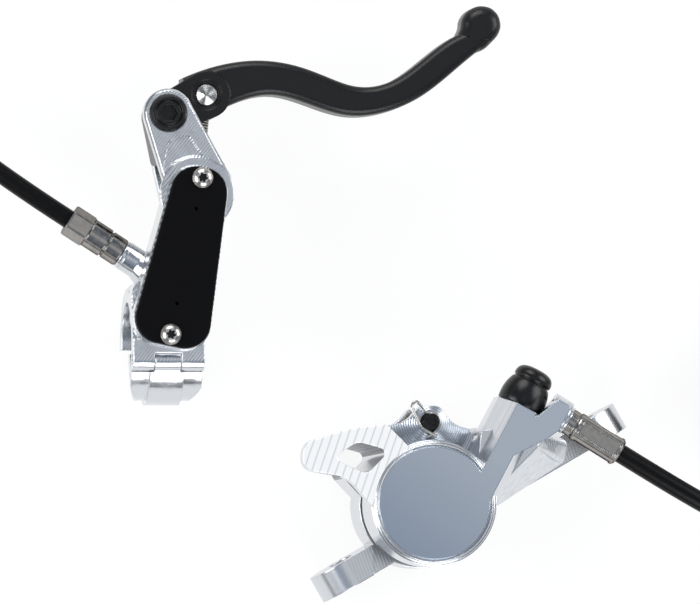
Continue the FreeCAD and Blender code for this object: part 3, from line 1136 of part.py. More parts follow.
def write_parts():
    """Builds every piece and writes it under its own name."""
    boss_face = boss_point(HOSE_BOSS_LENGTH)
    port_face = at_caliper_point(port_point(0))
    front_seal, rear_seal = seal_places()
    pieces = {
        "master_body": master_body(),
        "reservoir_cap": reservoir_cap(),
        "reservoir_diaphragm": reservoir_diaphragm(),
        "cap_screws": cap_screws(),
        "lever_blade": lever_blade(),
        "pivot_bolt": pivot_bolt(),
        "pivot_bushes": pivot_bushes(),
        "pushrod_barrel": pushrod_barrel(),
        "pushrod": pushrod(),
        "master_piston": master_piston(),
        "primary_seal": piston_seal(front_seal),
        "secondary_seal": piston_seal(rear_seal),
        "piston_spring": piston_spring(),
        "piston_circlip": piston_circlip(),
        "clamp_half": clamp_half(),
        "clamp_hinge_pin": clamp_hinge_pin(),
        "clamp_bolt": clamp_bolt(),
        "lever_connector": connector(boss_face, HOSE_BOSS_ANGLE, SOCKET_DEPTH, LEVER_CONNECTOR_RADIUS,
                                     LEVER_CONNECTOR_COLLAR, LEVER_CONNECTOR_LENGTH),
        "lever_seal_washer": seal_washer(boss_face, HOSE_BOSS_ANGLE),
        "lever_olive": olive(boss_face, HOSE_BOSS_ANGLE, SOCKET_DEPTH),
        "hose_lever_run": hose_tube("hose_lever_run", lever_hose_route()),
        "hose_coil": hose_coil(),
        "hose_caliper_run": hose_tube("hose_caliper_run", caliper_hose_route()),
        "hose_tie": hose_tie(),
        "caliper_body": caliper_body(),
        "bore_cap": bore_cap(),
        "bore_cap_seal": bore_cap_seal(),
        "outer_piston": caliper_piston(1),
        "inner_piston": caliper_piston(-1),
        "outer_piston_seal": caliper_seal(1),
        "inner_piston_seal": caliper_seal(-1),
        "outer_pad_plate": pad_plate(1),
        "outer_pad_lining": pad_lining(1),
        "inner_pad_plate": pad_plate(-1),
        "inner_pad_lining": pad_lining(-1),
        "pad_spring": pad_spring(),
        "pad_pin": pad_pin(),
        "pad_pin_clip": pad_pin_clip(),
        "bleed_nipple": bleed_nipple(),
        "bleed_cap": bleed_cap(),
        "caliper_connector": connector(port_face, PORT_ANGLE, PORT_SOCKET_DEPTH, CALIPER_CONNECTOR_RADIUS,
                                       CALIPER_CONNECTOR_COLLAR, CALIPER_CONNECTOR_LENGTH),
        "caliper_seal_washer": seal_washer(port_face, PORT_ANGLE),
        "caliper_olive": olive(port_face, PORT_ANGLE, PORT_SOCKET_DEPTH),
    }
    os.makedirs("parts", exist_ok=True)
    for name, shape in pieces.items():
        print(name, "solids", len(shape.Solids), "valid", shape.isValid(), "volume", round(shape.Volume, 1))
        shape.exportStep("parts/" + name + ".step")


write_parts()
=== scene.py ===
import math

import bmesh
import bpy
from mathutils import Matrix, Vector


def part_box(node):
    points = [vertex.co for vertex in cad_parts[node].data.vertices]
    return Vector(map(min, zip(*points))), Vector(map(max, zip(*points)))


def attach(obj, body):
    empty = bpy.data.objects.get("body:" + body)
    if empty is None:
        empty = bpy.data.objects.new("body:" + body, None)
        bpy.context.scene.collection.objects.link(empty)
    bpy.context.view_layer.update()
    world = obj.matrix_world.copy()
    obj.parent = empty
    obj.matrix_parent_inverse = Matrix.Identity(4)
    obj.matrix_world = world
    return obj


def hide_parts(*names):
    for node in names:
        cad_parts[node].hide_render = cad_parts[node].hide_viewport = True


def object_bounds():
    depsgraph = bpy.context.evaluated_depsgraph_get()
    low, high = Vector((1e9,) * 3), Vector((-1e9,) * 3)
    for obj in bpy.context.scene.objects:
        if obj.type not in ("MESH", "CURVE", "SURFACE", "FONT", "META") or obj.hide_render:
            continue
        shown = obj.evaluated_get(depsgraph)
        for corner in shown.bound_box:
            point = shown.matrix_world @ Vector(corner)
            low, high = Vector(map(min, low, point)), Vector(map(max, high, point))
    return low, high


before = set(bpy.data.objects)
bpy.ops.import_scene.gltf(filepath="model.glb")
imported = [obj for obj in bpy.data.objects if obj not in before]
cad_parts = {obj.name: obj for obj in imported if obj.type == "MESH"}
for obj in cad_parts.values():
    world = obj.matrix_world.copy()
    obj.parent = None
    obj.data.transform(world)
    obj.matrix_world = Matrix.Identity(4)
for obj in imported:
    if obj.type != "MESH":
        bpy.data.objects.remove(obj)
cad_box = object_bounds()


# Master cylinder body and the hinged half of its handlebar clamp.
# Both are milled from aluminium billet, tumbled bright and clear anodised,
# and the cutter leaves fine parallel lines on the fork's ears.
def linear(code):
    """sRGB hex colour as the linear RGBA that a socket takes."""
    parts = [int(code[index:index + 2], 16) / 255 for index in (1, 3, 5)]
    return [part / 12.92 if part <= 0.04045 else ((part + 0.055) / 1.055) ** 2.4 for part in parts] + [1.0]


def fill(node, inputs):
    """Sets a node's sockets, and links those whose value is another node's socket."""
    for socket, value in inputs.items():
        if isinstance(value, bpy.types.NodeSocket):
            node.id_data.links.new(value, node.inputs[socket])
        else:
            node.inputs[socket].default_value = value


def add(tree, kind, inputs=None, **settings):
    """Adds a node, sets its properties and fills its sockets."""
    made = tree.nodes.new(kind)
    for name, value in settings.items():
        setattr(made, name, value)
    fill(made, inputs or {})
    return made


def new_material(name):
    """Empty material with its surface shader."""
    material = bpy.data.materials.new(name)
    material.use_nodes = True
    tree = material.node_tree
    tree.nodes.clear()
    shader = add(tree, "ShaderNodeBsdfPrincipled")
    add(tree, "ShaderNodeOutputMaterial", {"Surface": shader.outputs["BSDF"]})
    return material, tree, shader


def wave_scale(pitch):
    """Scale at which a wave texture has one crest in each pitch."""
    return math.pi / 10 / pitch


def dress(material, *names):
    """Gives CAD pieces a material."""
    for name in names:
        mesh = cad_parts[name].data
        mesh.materials.clear()
        mesh.materials.append(material)


# Bright anodised aluminium: a clean metal whose tumbled skin is a little uneven, so that
# reflections run in soft streaks, with cutter lines on the flat tops. The lines are about
# 0.3 mm apart on the real part and 0.7 mm here, so that they show.
CUTTER_PITCH, CUTTER_TURN = 0.0007, math.radians(38)
TUMBLED_PATCH = 0.006
NOISE_LOW, NOISE_HIGH = 0.3, 0.7
FLAT_FROM, FLAT_TO = 0.97, 0.995
EDGE_SAMPLES = 6
bright_aluminium, tree, shader = new_material("bright_anodised_aluminium")
place = add(tree, "ShaderNodeTexCoord").outputs["Object"]
cutter_turn = add(tree, "ShaderNodeMapping", {"Vector": place, "Rotation": (0, 0, CUTTER_TURN)})
cutter_lines = add(tree, "ShaderNodeTexWave", {
    "Vector": cutter_turn.outputs["Vector"], "Scale": wave_scale(CUTTER_PITCH), "Distortion": 0.3,
    "Detail": 1.0}, wave_type="BANDS", bands_direction="X")
facing = add(tree, "ShaderNodeSeparateXYZ", {"Vector": add(tree, "ShaderNodeNewGeometry").outputs["Normal"]})
flat_top = add(tree, "ShaderNodeMapRange", {
    "Value": facing.outputs["Z"], "From Min": FLAT_FROM, "From Max": FLAT_TO, "To Min": 0.0, "To Max": 0.5})
tumbling = add(tree, "ShaderNodeTexNoise", {"Vector": place, "Scale": 1 / TUMBLED_PATCH, "Detail": 3.0})
tumbled_roughness = add(tree, "ShaderNodeMapRange", {
    "Value": tumbling.outputs["Fac"], "From Min": NOISE_LOW, "From Max": NOISE_HIGH,
    "To Min": 0.12, "To Max": 0.24})
rounded_edge = add(tree, "ShaderNodeBevel", {"Radius": 0.0005}, samples=EDGE_SAMPLES)
tumbled_bump = add(tree, "ShaderNodeBump", {
    "Height": tumbling.outputs["Fac"], "Distance": 0.0004, "Strength": 0.5,
    "Normal": rounded_edge.outputs["Normal"]})
cutter_bump = add(tree, "ShaderNodeBump", {
    "Height": cutter_lines.outputs["Fac"], "Distance": 0.00006, "Strength": flat_top.outputs["Result"],
    "Normal": tumbled_bump.outputs["Normal"]})
fill(shader, {
    "Base Color": linear("#D3D6DA"), "Metallic": 1.0, "Roughness": tumbled_roughness.outputs["Result"],
    "Normal": cutter_bump.outputs["Normal"]})
dress(bright_aluminium, "master_body", "clamp_half")


# Hinge pin and bolt of the handlebar clamp.
# Both are drawn and turned from steel: the pin carries the hinged half, and
# the bolt holds that half shut on the handlebar.

# Bright steel, drawn and turned: a clean metal, slightly warm, whose gloss is cloudy in
# patches of about 1.2 mm, with fine scratches. Those are under 0.1 mm on the real pieces
# and 0.3 mm here, so that they show.
CLOUD, SCRATCH = 0.0012, 0.0003
turned_steel, tree, shader = new_material("turned_bright_steel")
place = add(tree, "ShaderNodeTexCoord").outputs["Object"]
clouding = add(tree, "ShaderNodeTexNoise", {"Vector": place, "Scale": 1 / CLOUD, "Detail": 2.0})
cloudy_roughness = add(tree, "ShaderNodeMapRange", {
    "Value": clouding.outputs["Fac"], "From Min": NOISE_LOW, "From Max": NOISE_HIGH,
    "To Min": 0.16, "To Max": 0.32})
scratches = add(tree, "ShaderNodeTexNoise", {"Vector": place, "Scale": 1 / SCRATCH, "Detail": 1.0})
rounded_edge = add(tree, "ShaderNodeBevel", {"Radius": 0.0002}, samples=EDGE_SAMPLES)
scratch_bump = add(tree, "ShaderNodeBump", {
    "Height": scratches.outputs["Fac"], "Distance": 0.00002, "Strength": 0.2,
    "Normal": rounded_edge.outputs["Normal"]})
fill(shader, {
    "Base Color": linear("#BDBBB7"), "Metallic": 1.0, "Roughness": cloudy_roughness.outputs["Result"],
    "Normal": scratch_bump.outputs["Normal"]})
dress(turned_steel, "clamp_hinge_pin", "clamp_bolt")


# Master piston with its two seals, return spring and circlip.
# The aluminium piston slides with two rubber lip seals, a coiled steel spring
# pushes it back, and a circlip keeps it in the bore.

# Moulded rubber: black, with a soft gloss that a fine mould grain breaks up. The grain is
# about 0.1 mm on the real pieces and 0.5 mm here, so that it shows.
MOULD_GRAIN = 0.0005
black_rubber, tree, shader = new_material("black_moulded_rubber")
place = add(tree, "ShaderNodeTexCoord").outputs["Object"]
mould_grain = add(tree, "ShaderNodeTexNoise", {"Vector": place, "Scale": 1 / MOULD_GRAIN, "Detail": 2.0})
mould_roughness = add(tree, "ShaderNodeMapRange", {
    "Value": mould_grain.outputs["Fac"], "From Min": NOISE_LOW, "From Max": NOISE_HIGH,
    "To Min": 0.26, "To Max": 0.34})
rounded_edge = add(tree, "ShaderNodeBevel", {"Radius": 0.0004}, samples=EDGE_SAMPLES)
mould_bump = add(tree, "ShaderNodeBump", {
    "Height": mould_grain.outputs["Fac"], "Distance": 0.00002, "Strength": 0.06,
    "Normal": rounded_edge.outputs["Normal"]})
fill(shader, {
    "Base Color": linear("#08080A"), "Specular IOR Level": 0.35,
    "Roughness": mould_roughness.outputs["Result"], "Normal": mould_bump.outputs["Normal"]})
dress(bright_aluminium, "master_piston")
dress(black_rubber, "primary_seal", "secondary_seal")
dress(turned_steel, "piston_spring", "piston_circlip")


# Reservoir diaphragm, the flat lid over it and the lid's two screws.
# The lid is a plate of aluminium with a flat black coat, held on a rubber
# bladder whose edge shows as a thin brown line.

# Nitrile rubber, moulded: dull brown, mottled in patches of about 1.5 mm.
RUBBER_PATCH = 0.0015
brown_rubber, tree, shader = new_material("brown_nitrile_rubber")
place = add(tree, "ShaderNodeTexCoord").outputs["Object"]
mottling = add(tree, "ShaderNodeTexNoise", {"Vector": place, "Scale": 1 / RUBBER_PATCH, "Detail": 3.0})
rubber_colour = add(tree, "ShaderNodeMix", {
    "Factor": mottling.outputs["Fac"], "A": linear("#3E3027"), "B": linear("#5A4737")}, data_type="RGBA")
fill(shader, {"Base Color": rubber_colour.outputs["Result"], "Roughness": 0.6})
dress(brown_rubber, "reservoir_diaphragm")

# Flat black coat: almost no gloss, with a fine grain. The grain is about 0.1 mm on the
# real lid and 0.4 mm here, so that it shows.
COAT_GRAIN = 0.0004
coated_black, tree, shader = new_material("flat_black_coat")
place = add(tree, "ShaderNodeTexCoord").outputs["Object"]
coat_grain = add(tree, "ShaderNodeTexNoise", {"Vector": place, "Scale": 1 / COAT_GRAIN, "Detail": 2.0})
coat_colour = add(tree, "ShaderNodeMix", {
    "Factor": coat_grain.outputs["Fac"], "A": linear("#050506"), "B": linear("#0B0B0D")}, data_type="RGBA")
rounded_edge = add(tree, "ShaderNodeBevel", {"Radius": 0.0003}, samples=EDGE_SAMPLES)
coat_bump = add(tree, "ShaderNodeBump", {
    "Height": coat_grain.outputs["Fac"], "Distance": 0.00002, "Strength": 0.4,
    "Normal": rounded_edge.outputs["Normal"]})
fill(shader, {
    "Base Color": coat_colour.outputs["Result"], "Roughness": 0.5, "Specular IOR Level": 0.06,
    "Normal": coat_bump.outputs["Normal"]})
dress(coated_black, "reservoir_cap")
dress(turned_steel, "cap_screws")


def dress_faces(name, material, wanted):
    """Gives the faces of a CAD piece that a test picks a material of their own."""
    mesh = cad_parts[name].data
    mesh.materials.append(material)
    for face in mesh.polygons:
        if wanted(face.center, face.normal):
            face.material_index = len(mesh.materials) - 1


# Steel in the screws' recesses: dull, dark and grainy. The darkness is painted shade, so that the six lobes
# stand out from the bright heads. The grain is under 0.1 mm on the real
# screws and 0.3 mm here, so that it shows.
HEADING_GRAIN = 0.0003
shaded_recess_steel, tree, shader = new_material("painted_shade_recess_steel")
place = add(tree, "ShaderNodeTexCoord").outputs["Object"]
heading_grain = add(tree, "ShaderNodeTexNoise", {"Vector": place, "Scale": 1 / HEADING_GRAIN, "Detail": 2.0})
# painted shade: the recess is coloured dark gray where its shadow would fall
painted_recess_shade_colour = add(tree, "ShaderNodeMix", {
    "Factor": heading_grain.outputs["Fac"], "A": linear("#1E1E20"), "B": linear("#48484A")}, data_type="RGBA")
fill(shader, {"Base Color": painted_recess_shade_colour.outputs["Result"], "Metallic": 1.0, "Roughness": 0.5})
RECESS_RADIUS, RECESS_DEPTH, HEAD_SKIN = 0.00132, 0.00095, 0.00002
screw_corners = [corner.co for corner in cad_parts["cap_screws"].data.vertices]
screws_low, screws_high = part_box("cap_screws")
screw_axes = []
for side in (-1, 1):
    own = [spot for spot in screw_corners if side * (spot.y - (screws_low.y + screws_high.y) / 2) > 0]
    screw_axes.append(Vector((min(spot.x for spot in own) + max(spot.x for spot in own),
                              min(spot.y for spot in own) + max(spot.y for spot in own))) / 2)
dress_faces("cap_screws", shaded_recess_steel,
            lambda spot, normal: HEAD_SKIN < screws_high.z - spot.z < RECESS_DEPTH
            and min((spot.xy - axis).length for axis in screw_axes) < RECESS_RADIUS)


# Lever blade on its pivot bolt, with bronze bushes in the hub.
# The blade is forged aluminium with a satin black anodised finish, and the
# hollow pivot bolt is blackened steel.

# Satin black anodising over a blasted forging: soft highlights along the edges. The
# blasting is about 0.1 mm on the real blade and 0.5 mm here, so that it shows.
BLAST_GRAIN = 0.0005
satin_black, tree, shader = new_material("satin_black_anodised")
place = add(tree, "ShaderNodeTexCoord").outputs["Object"]
blast_grain = add(tree, "ShaderNodeTexNoise", {"Vector": place, "Scale": 1 / BLAST_GRAIN, "Detail": 2.0})
blast_roughness = add(tree, "ShaderNodeMapRange", {
    "Value": blast_grain.outputs["Fac"], "From Min": NOISE_LOW, "From Max": NOISE_HIGH,
    "To Min": 0.27, "To Max": 0.37})
rounded_edge = add(tree, "ShaderNodeBevel", {"Radius": 0.0006}, samples=EDGE_SAMPLES)
blast_bump = add(tree, "ShaderNodeBump", {
    "Height": blast_grain.outputs["Fac"], "Distance": 0.00002, "Strength": 0.35,
    "Normal": rounded_edge.outputs["Normal"]})
fill(shader, {
    "Base Color": linear("#0B0B0D"), "Specular IOR Level": 0.35,
    "Roughness": blast_roughness.outputs["Result"], "Normal": blast_bump.outputs["Normal"]})
dress(satin_black, "lever_blade")

# Finger stop forged on the blade's tip: a soft-edged bulb just thicker than the blade,
# which closes over the ball that ends the solid blade. Its outline is in millimetres.
MM = 0.001
BULB_THICKNESS = 0.0115
BULB_ROUND = 0.0030
BULB_HEIGHT = 0.0045
bulb_outline = [(83.0, 76.9), (86.6, 79.5), (88.6, 82.3), (88.8, 84.7), (87.5, 87.4), (84.7, 88.8),
                (81.1, 88.1), (78.7, 85.6), (78.2, 83.0), (77.4, 80.6), (79.0, 77.2)]
bulb_curve = bpy.data.curves.new("blade_tip_bulb", "CURVE")
bulb_curve.dimensions = "2D"
bulb_curve.fill_mode = "BOTH"
bulb_curve.extrude = BULB_THICKNESS / 2 - BULB_ROUND
bulb_curve.bevel_depth = BULB_ROUND
bulb_curve.bevel_resolution = 6
bulb_curve.offset = -BULB_ROUND
bulb_spline = bulb_curve.splines.new("BEZIER")
bulb_spline.bezier_points.add(len(bulb_outline) - 1)
for point, (across, along) in zip(bulb_spline.bezier_points, bulb_outline):
    point.co = (across * MM, along * MM, 0)
    point.handle_left_type = point.handle_right_type = "AUTO"
bulb_spline.use_cyclic_u = True
bulb_curve.materials.append(satin_black)
bulb = bpy.data.objects.new("blade_tip_bulb", bulb_curve)
bulb.location.z = BULB_HEIGHT
bpy.context.scene.collection.objects.link(bulb)
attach(bulb, "lever")

# Blackened steel: a thin glossy black oxide over turned metal, cloudy in patches of 1 mm.
OXIDE_PATCH = 0.001
black_oxide, tree, shader = new_material("black_oxide_steel")
place = add(tree, "ShaderNodeTexCoord").outputs["Object"]
oxide_patch = add(tree, "ShaderNodeTexNoise", {"Vector": place, "Scale": 1 / OXIDE_PATCH, "Detail": 3.0})
oxide_roughness = add(tree, "ShaderNodeMapRange", {
    "Value": oxide_patch.outputs["Fac"], "From Min": NOISE_LOW, "From Max": NOISE_HIGH,
    "To Min": 0.18, "To Max": 0.32})
rounded_edge = add(tree, "ShaderNodeBevel", {"Radius": 0.0003}, samples=EDGE_SAMPLES)
fill(shader, {
    "Base Color": linear("#0B0B0D"), "Metallic": 0.3, "Roughness": oxide_roughness.outputs["Result"],
    "Normal": rounded_edge.outputs["Normal"]})
dress(black_oxide, "pivot_bolt")

# Sintered bronze: warm metal with open pores. They are about 0.05 mm on the real bushes
# and 0.3 mm here, so that they show.
BRONZE_PORE = 0.0003
sintered_bronze, tree, shader = new_material("sintered_bronze")
place = add(tree, "ShaderNodeTexCoord").outputs["Object"]
pores = add(tree, "ShaderNodeTexNoise", {"Vector": place, "Scale": 1 / BRONZE_PORE, "Detail": 2.0})
bronze_colour = add(tree, "ShaderNodeMix", {
    "Factor": pores.outputs["Fac"], "A": linear("#7E5F38"), "B": linear("#B88F5A")}, data_type="RGBA")
fill(shader, {"Base Color": bronze_colour.outputs["Result"], "Metallic": 1.0, "Roughness": 0.4})
dress(sintered_bronze, "pivot_bushes")


# Pushrod and the cross pin that carries it in the lever.
# The pin is turned from bright steel and faced on its end, and the threaded
# rod runs from it to the cup of the master piston.
dress(turned_steel, "pushrod_barrel")

# End of the cross pin, faced on a lathe: the rings spread each reflection into a fan.
# They are under 0.1 mm apart on the real pin and 0.4 mm here, so that they show.
FACING_PITCH = 0.0004
faced_steel, tree, shader = new_material("faced_bright_steel")
place = add(tree, "ShaderNodeTexCoord").outputs["Object"]
pin_low, pin_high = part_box("pushrod_barrel")
from_pin_axis = add(tree, "ShaderNodeMapping", {"Vector": place, "Location": -(pin_low + pin_high) / 2})
facing_rings = add(tree, "ShaderNodeTexWave", {
    "Vector": from_pin_axis.outputs["Vector"], "Scale": wave_scale(FACING_PITCH)}, wave_type="RINGS",
    rings_direction="Z")
round_the_pin = add(tree, "ShaderNodeVectorMath", {0: from_pin_axis.outputs["Vector"], 1: (0, 0, 1)},
                    operation="CROSS_PRODUCT")
facing_bump = add(tree, "ShaderNodeBump", {
    "Height": facing_rings.outputs["Fac"], "Distance": 0.00002, "Strength": 0.3})
fill(shader, {
    "Base Color": linear("#C9C7C3"), "Metallic": 1.0, "Roughness": 0.3, "Anisotropic": 0.7,
    "Tangent": round_the_pin.outputs["Vector"], "Normal": facing_bump.outputs["Normal"]})
LEVEL = 0.95
dress_faces("pushrod_barrel", faced_steel, lambda spot, normal: normal.z > LEVEL)

# Pushrod, rolled with an M4 thread of 0.7 mm: dull steel, with painted shade in the grooves and painted
# highlights on the crests, as dark and light bands along it.
THREAD_PITCH, ROD_TURN = 0.0007, math.radians(8)
threaded_steel, tree, shader = new_material("rolled_threaded_steel")
place = add(tree, "ShaderNodeTexCoord").outputs["Object"]
along_rod = add(tree, "ShaderNodeMapping", {"Vector": place, "Rotation": (0, 0, ROD_TURN)})
thread = add(tree, "ShaderNodeTexWave", {
    "Vector": along_rod.outputs["Vector"], "Scale": wave_scale(THREAD_PITCH)}, wave_type="BANDS",
    bands_direction="Y")
# painted shade and highlight: dark bands for the grooves, light bands for the crests
thread_shade_and_highlight_colour = add(tree, "ShaderNodeMix", {
    "Factor": thread.outputs["Fac"], "A": linear("#4C4A48"), "B": linear("#C2BFBB")}, data_type="RGBA")
thread_bump = add(tree, "ShaderNodeBump", {
    "Height": thread.outputs["Fac"], "Distance": 0.0004, "Strength": 0.8})
fill(shader, {
    "Base Color": thread_shade_and_highlight_colour.outputs["Result"], "Metallic": 1.0, "Roughness": 0.32,
    "Normal": thread_bump.outputs["Normal"]})
dress(threaded_steel, "pushrod")


# Hose connectors at the lever and at the caliper, with their washers and olives.
# They are turned from stainless bar, with spanner flats milled along the
# sleeve. Inside each, a bronze olive grips the hose.

# Turned stainless steel: darker and warmer than the aluminium, with streaks round the
# sleeve. The turning is under 0.1 mm apart on the real one and 0.5 mm here, to show.
TURNING_PITCH, STAIN_PATCH = 0.0005, 0.0014
SLEEVE_TURN = math.radians(32)
warm_stainless, tree, shader = new_material("turned_stainless_steel")
place = add(tree, "ShaderNodeTexCoord").outputs["Object"]
along_sleeve = add(tree, "ShaderNodeMapping", {"Vector": place, "Rotation": (0, 0, SLEEVE_TURN)})
turning = add(tree, "ShaderNodeTexWave", {
    "Vector": along_sleeve.outputs["Vector"], "Scale": wave_scale(TURNING_PITCH), "Distortion": 0.6,
    "Detail": 2.0}, wave_type="BANDS", bands_direction="X")
staining = add(tree, "ShaderNodeTexNoise", {"Vector": place, "Scale": 1 / STAIN_PATCH, "Detail": 3.0})
stain_colour = add(tree, "ShaderNodeMix", {
    "Factor": staining.outputs["Fac"], "A": linear("#85827F"), "B": linear("#B4B1AD")}, data_type="RGBA")
turning_roughness = add(tree, "ShaderNodeMapRange", {
    "Value": staining.outputs["Fac"], "From Min": NOISE_LOW, "From Max": NOISE_HIGH,
    "To Min": 0.14, "To Max": 0.24})
rounded_edge = add(tree, "ShaderNodeBevel", {"Radius": 0.0003}, samples=EDGE_SAMPLES)
turning_bump = add(tree, "ShaderNodeBump", {
    "Height": turning.outputs["Fac"], "Distance": 0.00003, "Strength": 0.2,
    "Normal": rounded_edge.outputs["Normal"]})
# The dark gray specular tint is painted reflection: it darkens the sleeve's grazing edges as dark
# surroundings would.
fill(shader, {
    "Base Color": stain_colour.outputs["Result"], "Metallic": 1.0, "Specular Tint": linear("#7A7672"),
    "Roughness": turning_roughness.outputs["Result"], "Normal": turning_bump.outputs["Normal"]})
dress(warm_stainless, "caliper_connector")
dress(bright_aluminium, "lever_seal_washer", "caliper_seal_washer")
dress(sintered_bronze, "lever_olive", "caliper_olive")


BARREL_STEPS = 48


def round_shape(profile):
    """Shape turned about the Z axis from pairs of a height and a radius in millimetres."""
    shape = bmesh.new()
    line = [shape.verts.new((radius * MM, 0, height * MM)) for height, radius in profile]
    edges = [shape.edges.new(pair) for pair in zip(line, line[1:])]
    bmesh.ops.spin(shape, geom=line + edges, cent=(0, 0, 0), axis=(0, 0, 1), angle=2 * math.pi,
                   steps=BARREL_STEPS, use_merge=True)
    return shape


def smooth_mesh(name, shape, material):
    """Cleans a shape and makes it a smooth mesh of one material."""
    bmesh.ops.remove_doubles(shape, verts=shape.verts[:], dist=0.001 * MM)
    bmesh.ops.recalc_face_normals(shape, faces=shape.faces[:])
    mesh = bpy.data.meshes.new(name)
    shape.to_mesh(mesh)
    shape.free()
    for face in mesh.polygons:
        face.use_smooth = True
    mesh.materials.append(material)
    return mesh


# The lever's connector with its spanner hexagon: a grooved collar and a plain barrel,
# turned to about one size, and six flats milled at the hose end, one of them upwards.
LEVER_HOSE_EXIT = Vector((-0.0242, 0.0324, 0.0045))
LEVER_HOSE_TURN = math.radians(147.4)
HEXAGON_FLATS = 0.0076
HEXAGON_LENGTH = 0.0062
HEXAGON_CHAMFER = 0.0003
SHARP_EDGE = math.radians(25)
sleeve_profile = [(-16.2, 0), (-16.2, 3.5), (-15.9, 3.75), (-12.0, 3.75), (-11.8, 3.4), (-11.5, 3.4),
                  (-11.3, 3.9), (-6.3, 3.9), (-6.1, 3.7), (-6.1, 0)]
sleeve_shape = round_shape(sleeve_profile)
corner_radius = HEXAGON_FLATS / 2 / math.cos(math.pi / 6)
hexagon_ends = bmesh.ops.create_cone(
    sleeve_shape, cap_ends=True, segments=6, radius1=corner_radius, radius2=corner_radius,
    depth=HEXAGON_LENGTH, matrix=Matrix.Translation((0, 0, -HEXAGON_LENGTH / 2)))
hexagon_edges = {edge for corner in hexagon_ends["verts"] for edge in corner.link_edges}
bmesh.ops.bevel(sleeve_shape, geom=list(hexagon_edges), offset=HEXAGON_CHAMFER, segments=2, affect="EDGES")
sleeve_mesh = smooth_mesh("lever_connector_sleeve", sleeve_shape, warm_stainless)
sleeve_mesh.set_sharp_from_angle(angle=SHARP_EDGE)
sleeve = bpy.data.objects.new("lever_connector_sleeve", sleeve_mesh)
outward = Vector((math.cos(LEVER_HOSE_TURN), math.sin(LEVER_HOSE_TURN), 0))
upwards = Vector((0, 0, 1))
sleeve.matrix_world = Matrix.Translation(LEVER_HOSE_EXIT) @ Matrix(
    (upwards, outward.cross(upwards), outward)).transposed().to_4x4()
bpy.context.scene.collection.objects.link(sleeve)
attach(sleeve, "frame")
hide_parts("lever_connector")


# Caliper body and the screwed plug with its seal behind the inner bore.
# The body is milled from one billet: a smooth turned outer face, a ball-cut lug
# round the pad pin and broad cutter strokes across the wing.

# Middle of the two bores, the pad pin's distance from it and the tower's slant in plan.
CALIPER = Vector((0.0693, -0.0414, 0.001))
PAD_PIN_Y = 0.0212
TOWER_TURN = math.radians(62)

# Milled aluminium, clear anodised: satin metal with faint cutter lines at a slant.
# The lines are about 0.3 mm apart on the real part and 0.8 mm here, so that they show.
HATCH_PITCH, HATCH_TURN = 0.0008, math.radians(-20)
milled_aluminium, tree, shader = new_material("milled_clear_anodised_aluminium")
place = add(tree, "ShaderNodeTexCoord").outputs["Object"]
hatch_turn = add(tree, "ShaderNodeMapping", {"Vector": place, "Rotation": (0, 0, HATCH_TURN)})
hatch = add(tree, "ShaderNodeTexWave", {
    "Vector": hatch_turn.outputs["Vector"], "Scale": wave_scale(HATCH_PITCH), "Distortion": 0.4,
    "Detail": 1.0}, wave_type="BANDS", bands_direction="X")
facing = add(tree, "ShaderNodeSeparateXYZ", {"Vector": add(tree, "ShaderNodeNewGeometry").outputs["Normal"]})
flat_top = add(tree, "ShaderNodeMapRange", {
    "Value": facing.outputs["Z"], "From Min": FLAT_FROM, "From Max": FLAT_TO, "To Min": 0.0, "To Max": 0.14})
rounded_edge = add(tree, "ShaderNodeBevel", {"Radius": 0.0005}, samples=EDGE_SAMPLES)
hatch_bump = add(tree, "ShaderNodeBump", {
    "Height": hatch.outputs["Fac"], "Distance": 0.00005, "Strength": flat_top.outputs["Result"],
    "Normal": rounded_edge.outputs["Normal"]})
fill(shader, {
    "Base Color": linear("#D3D6DA"), "Metallic": 1.0, "Roughness": 0.24,
    "Normal": hatch_bump.outputs["Normal"]})
dress(milled_aluminium, "caliper_body", "bore_cap")
dress(black_rubber, "bore_cap_seal")

# Face turned in one pass: a soft mirror for the pale ceiling, with faint rings. Its bluish colour is painted
# reflection, with painted shade that makes it darker and bluer towards its lower left.
# The rings are under 0.1 mm apart on the real part and 0.5 mm here, so that they show.
RING_PITCH = 0.0005
REFLECTION_SHADE_SPAN, REFLECTION_SHADE_TURN, REFLECTION_SHADE_MIDDLE = 0.040, math.radians(-50), 0.5
turned_aluminium, tree, shader = new_material("turned_clear_anodised_aluminium")
place = add(tree, "ShaderNodeTexCoord").outputs["Object"]
from_axis = add(tree, "ShaderNodeMapping", {"Vector": place, "Location": -CALIPER})
rings = add(tree, "ShaderNodeTexWave", {
    "Vector": from_axis.outputs["Vector"], "Scale": wave_scale(RING_PITCH)}, wave_type="RINGS",
    rings_direction="Z")
across_painted_reflection = add(tree, "ShaderNodeMapping", {
    "Vector": from_axis.outputs["Vector"], "Rotation": (0, 0, REFLECTION_SHADE_TURN), "Scale": [1 / REFLECTION_SHADE_SPAN] * 3,
    "Location": (REFLECTION_SHADE_MIDDLE, 0, 0)})
# painted reflection and shade: the base colour runs from darker blue-gray to lighter across the face
painted_reflection_gradient = add(tree, "ShaderNodeTexGradient", {"Vector": across_painted_reflection.outputs["Vector"]}, gradient_type="LINEAR")
painted_reflection_colour = add(tree, "ShaderNodeMix", {
    "Factor": painted_reflection_gradient.outputs["Fac"], "A": linear("#9BA9BB"), "B": linear("#C4CCD6")}, data_type="RGBA")
rounded_edge = add(tree, "ShaderNodeBevel", {"Radius": 0.0004}, samples=EDGE_SAMPLES)
ring_bump = add(tree, "ShaderNodeBump", {
    "Height": rings.outputs["Fac"], "Distance": 0.00002, "Strength": 0.12,
    "Normal": rounded_edge.outputs["Normal"]})
fill(shader, {
    "Base Color": painted_reflection_colour.outputs["Result"], "Metallic": 1.0, "Roughness": 0.26,
    "Normal": ring_bump.outputs["Normal"]})
FACE_HEIGHT, HEIGHT_SLACK = 0.021, 0.0001
dress_faces("caliper_body", turned_aluminium,
            lambda spot, normal: normal.z > LEVEL and abs(spot.z - CALIPER.z - FACE_HEIGHT) < HEIGHT_SLACK)

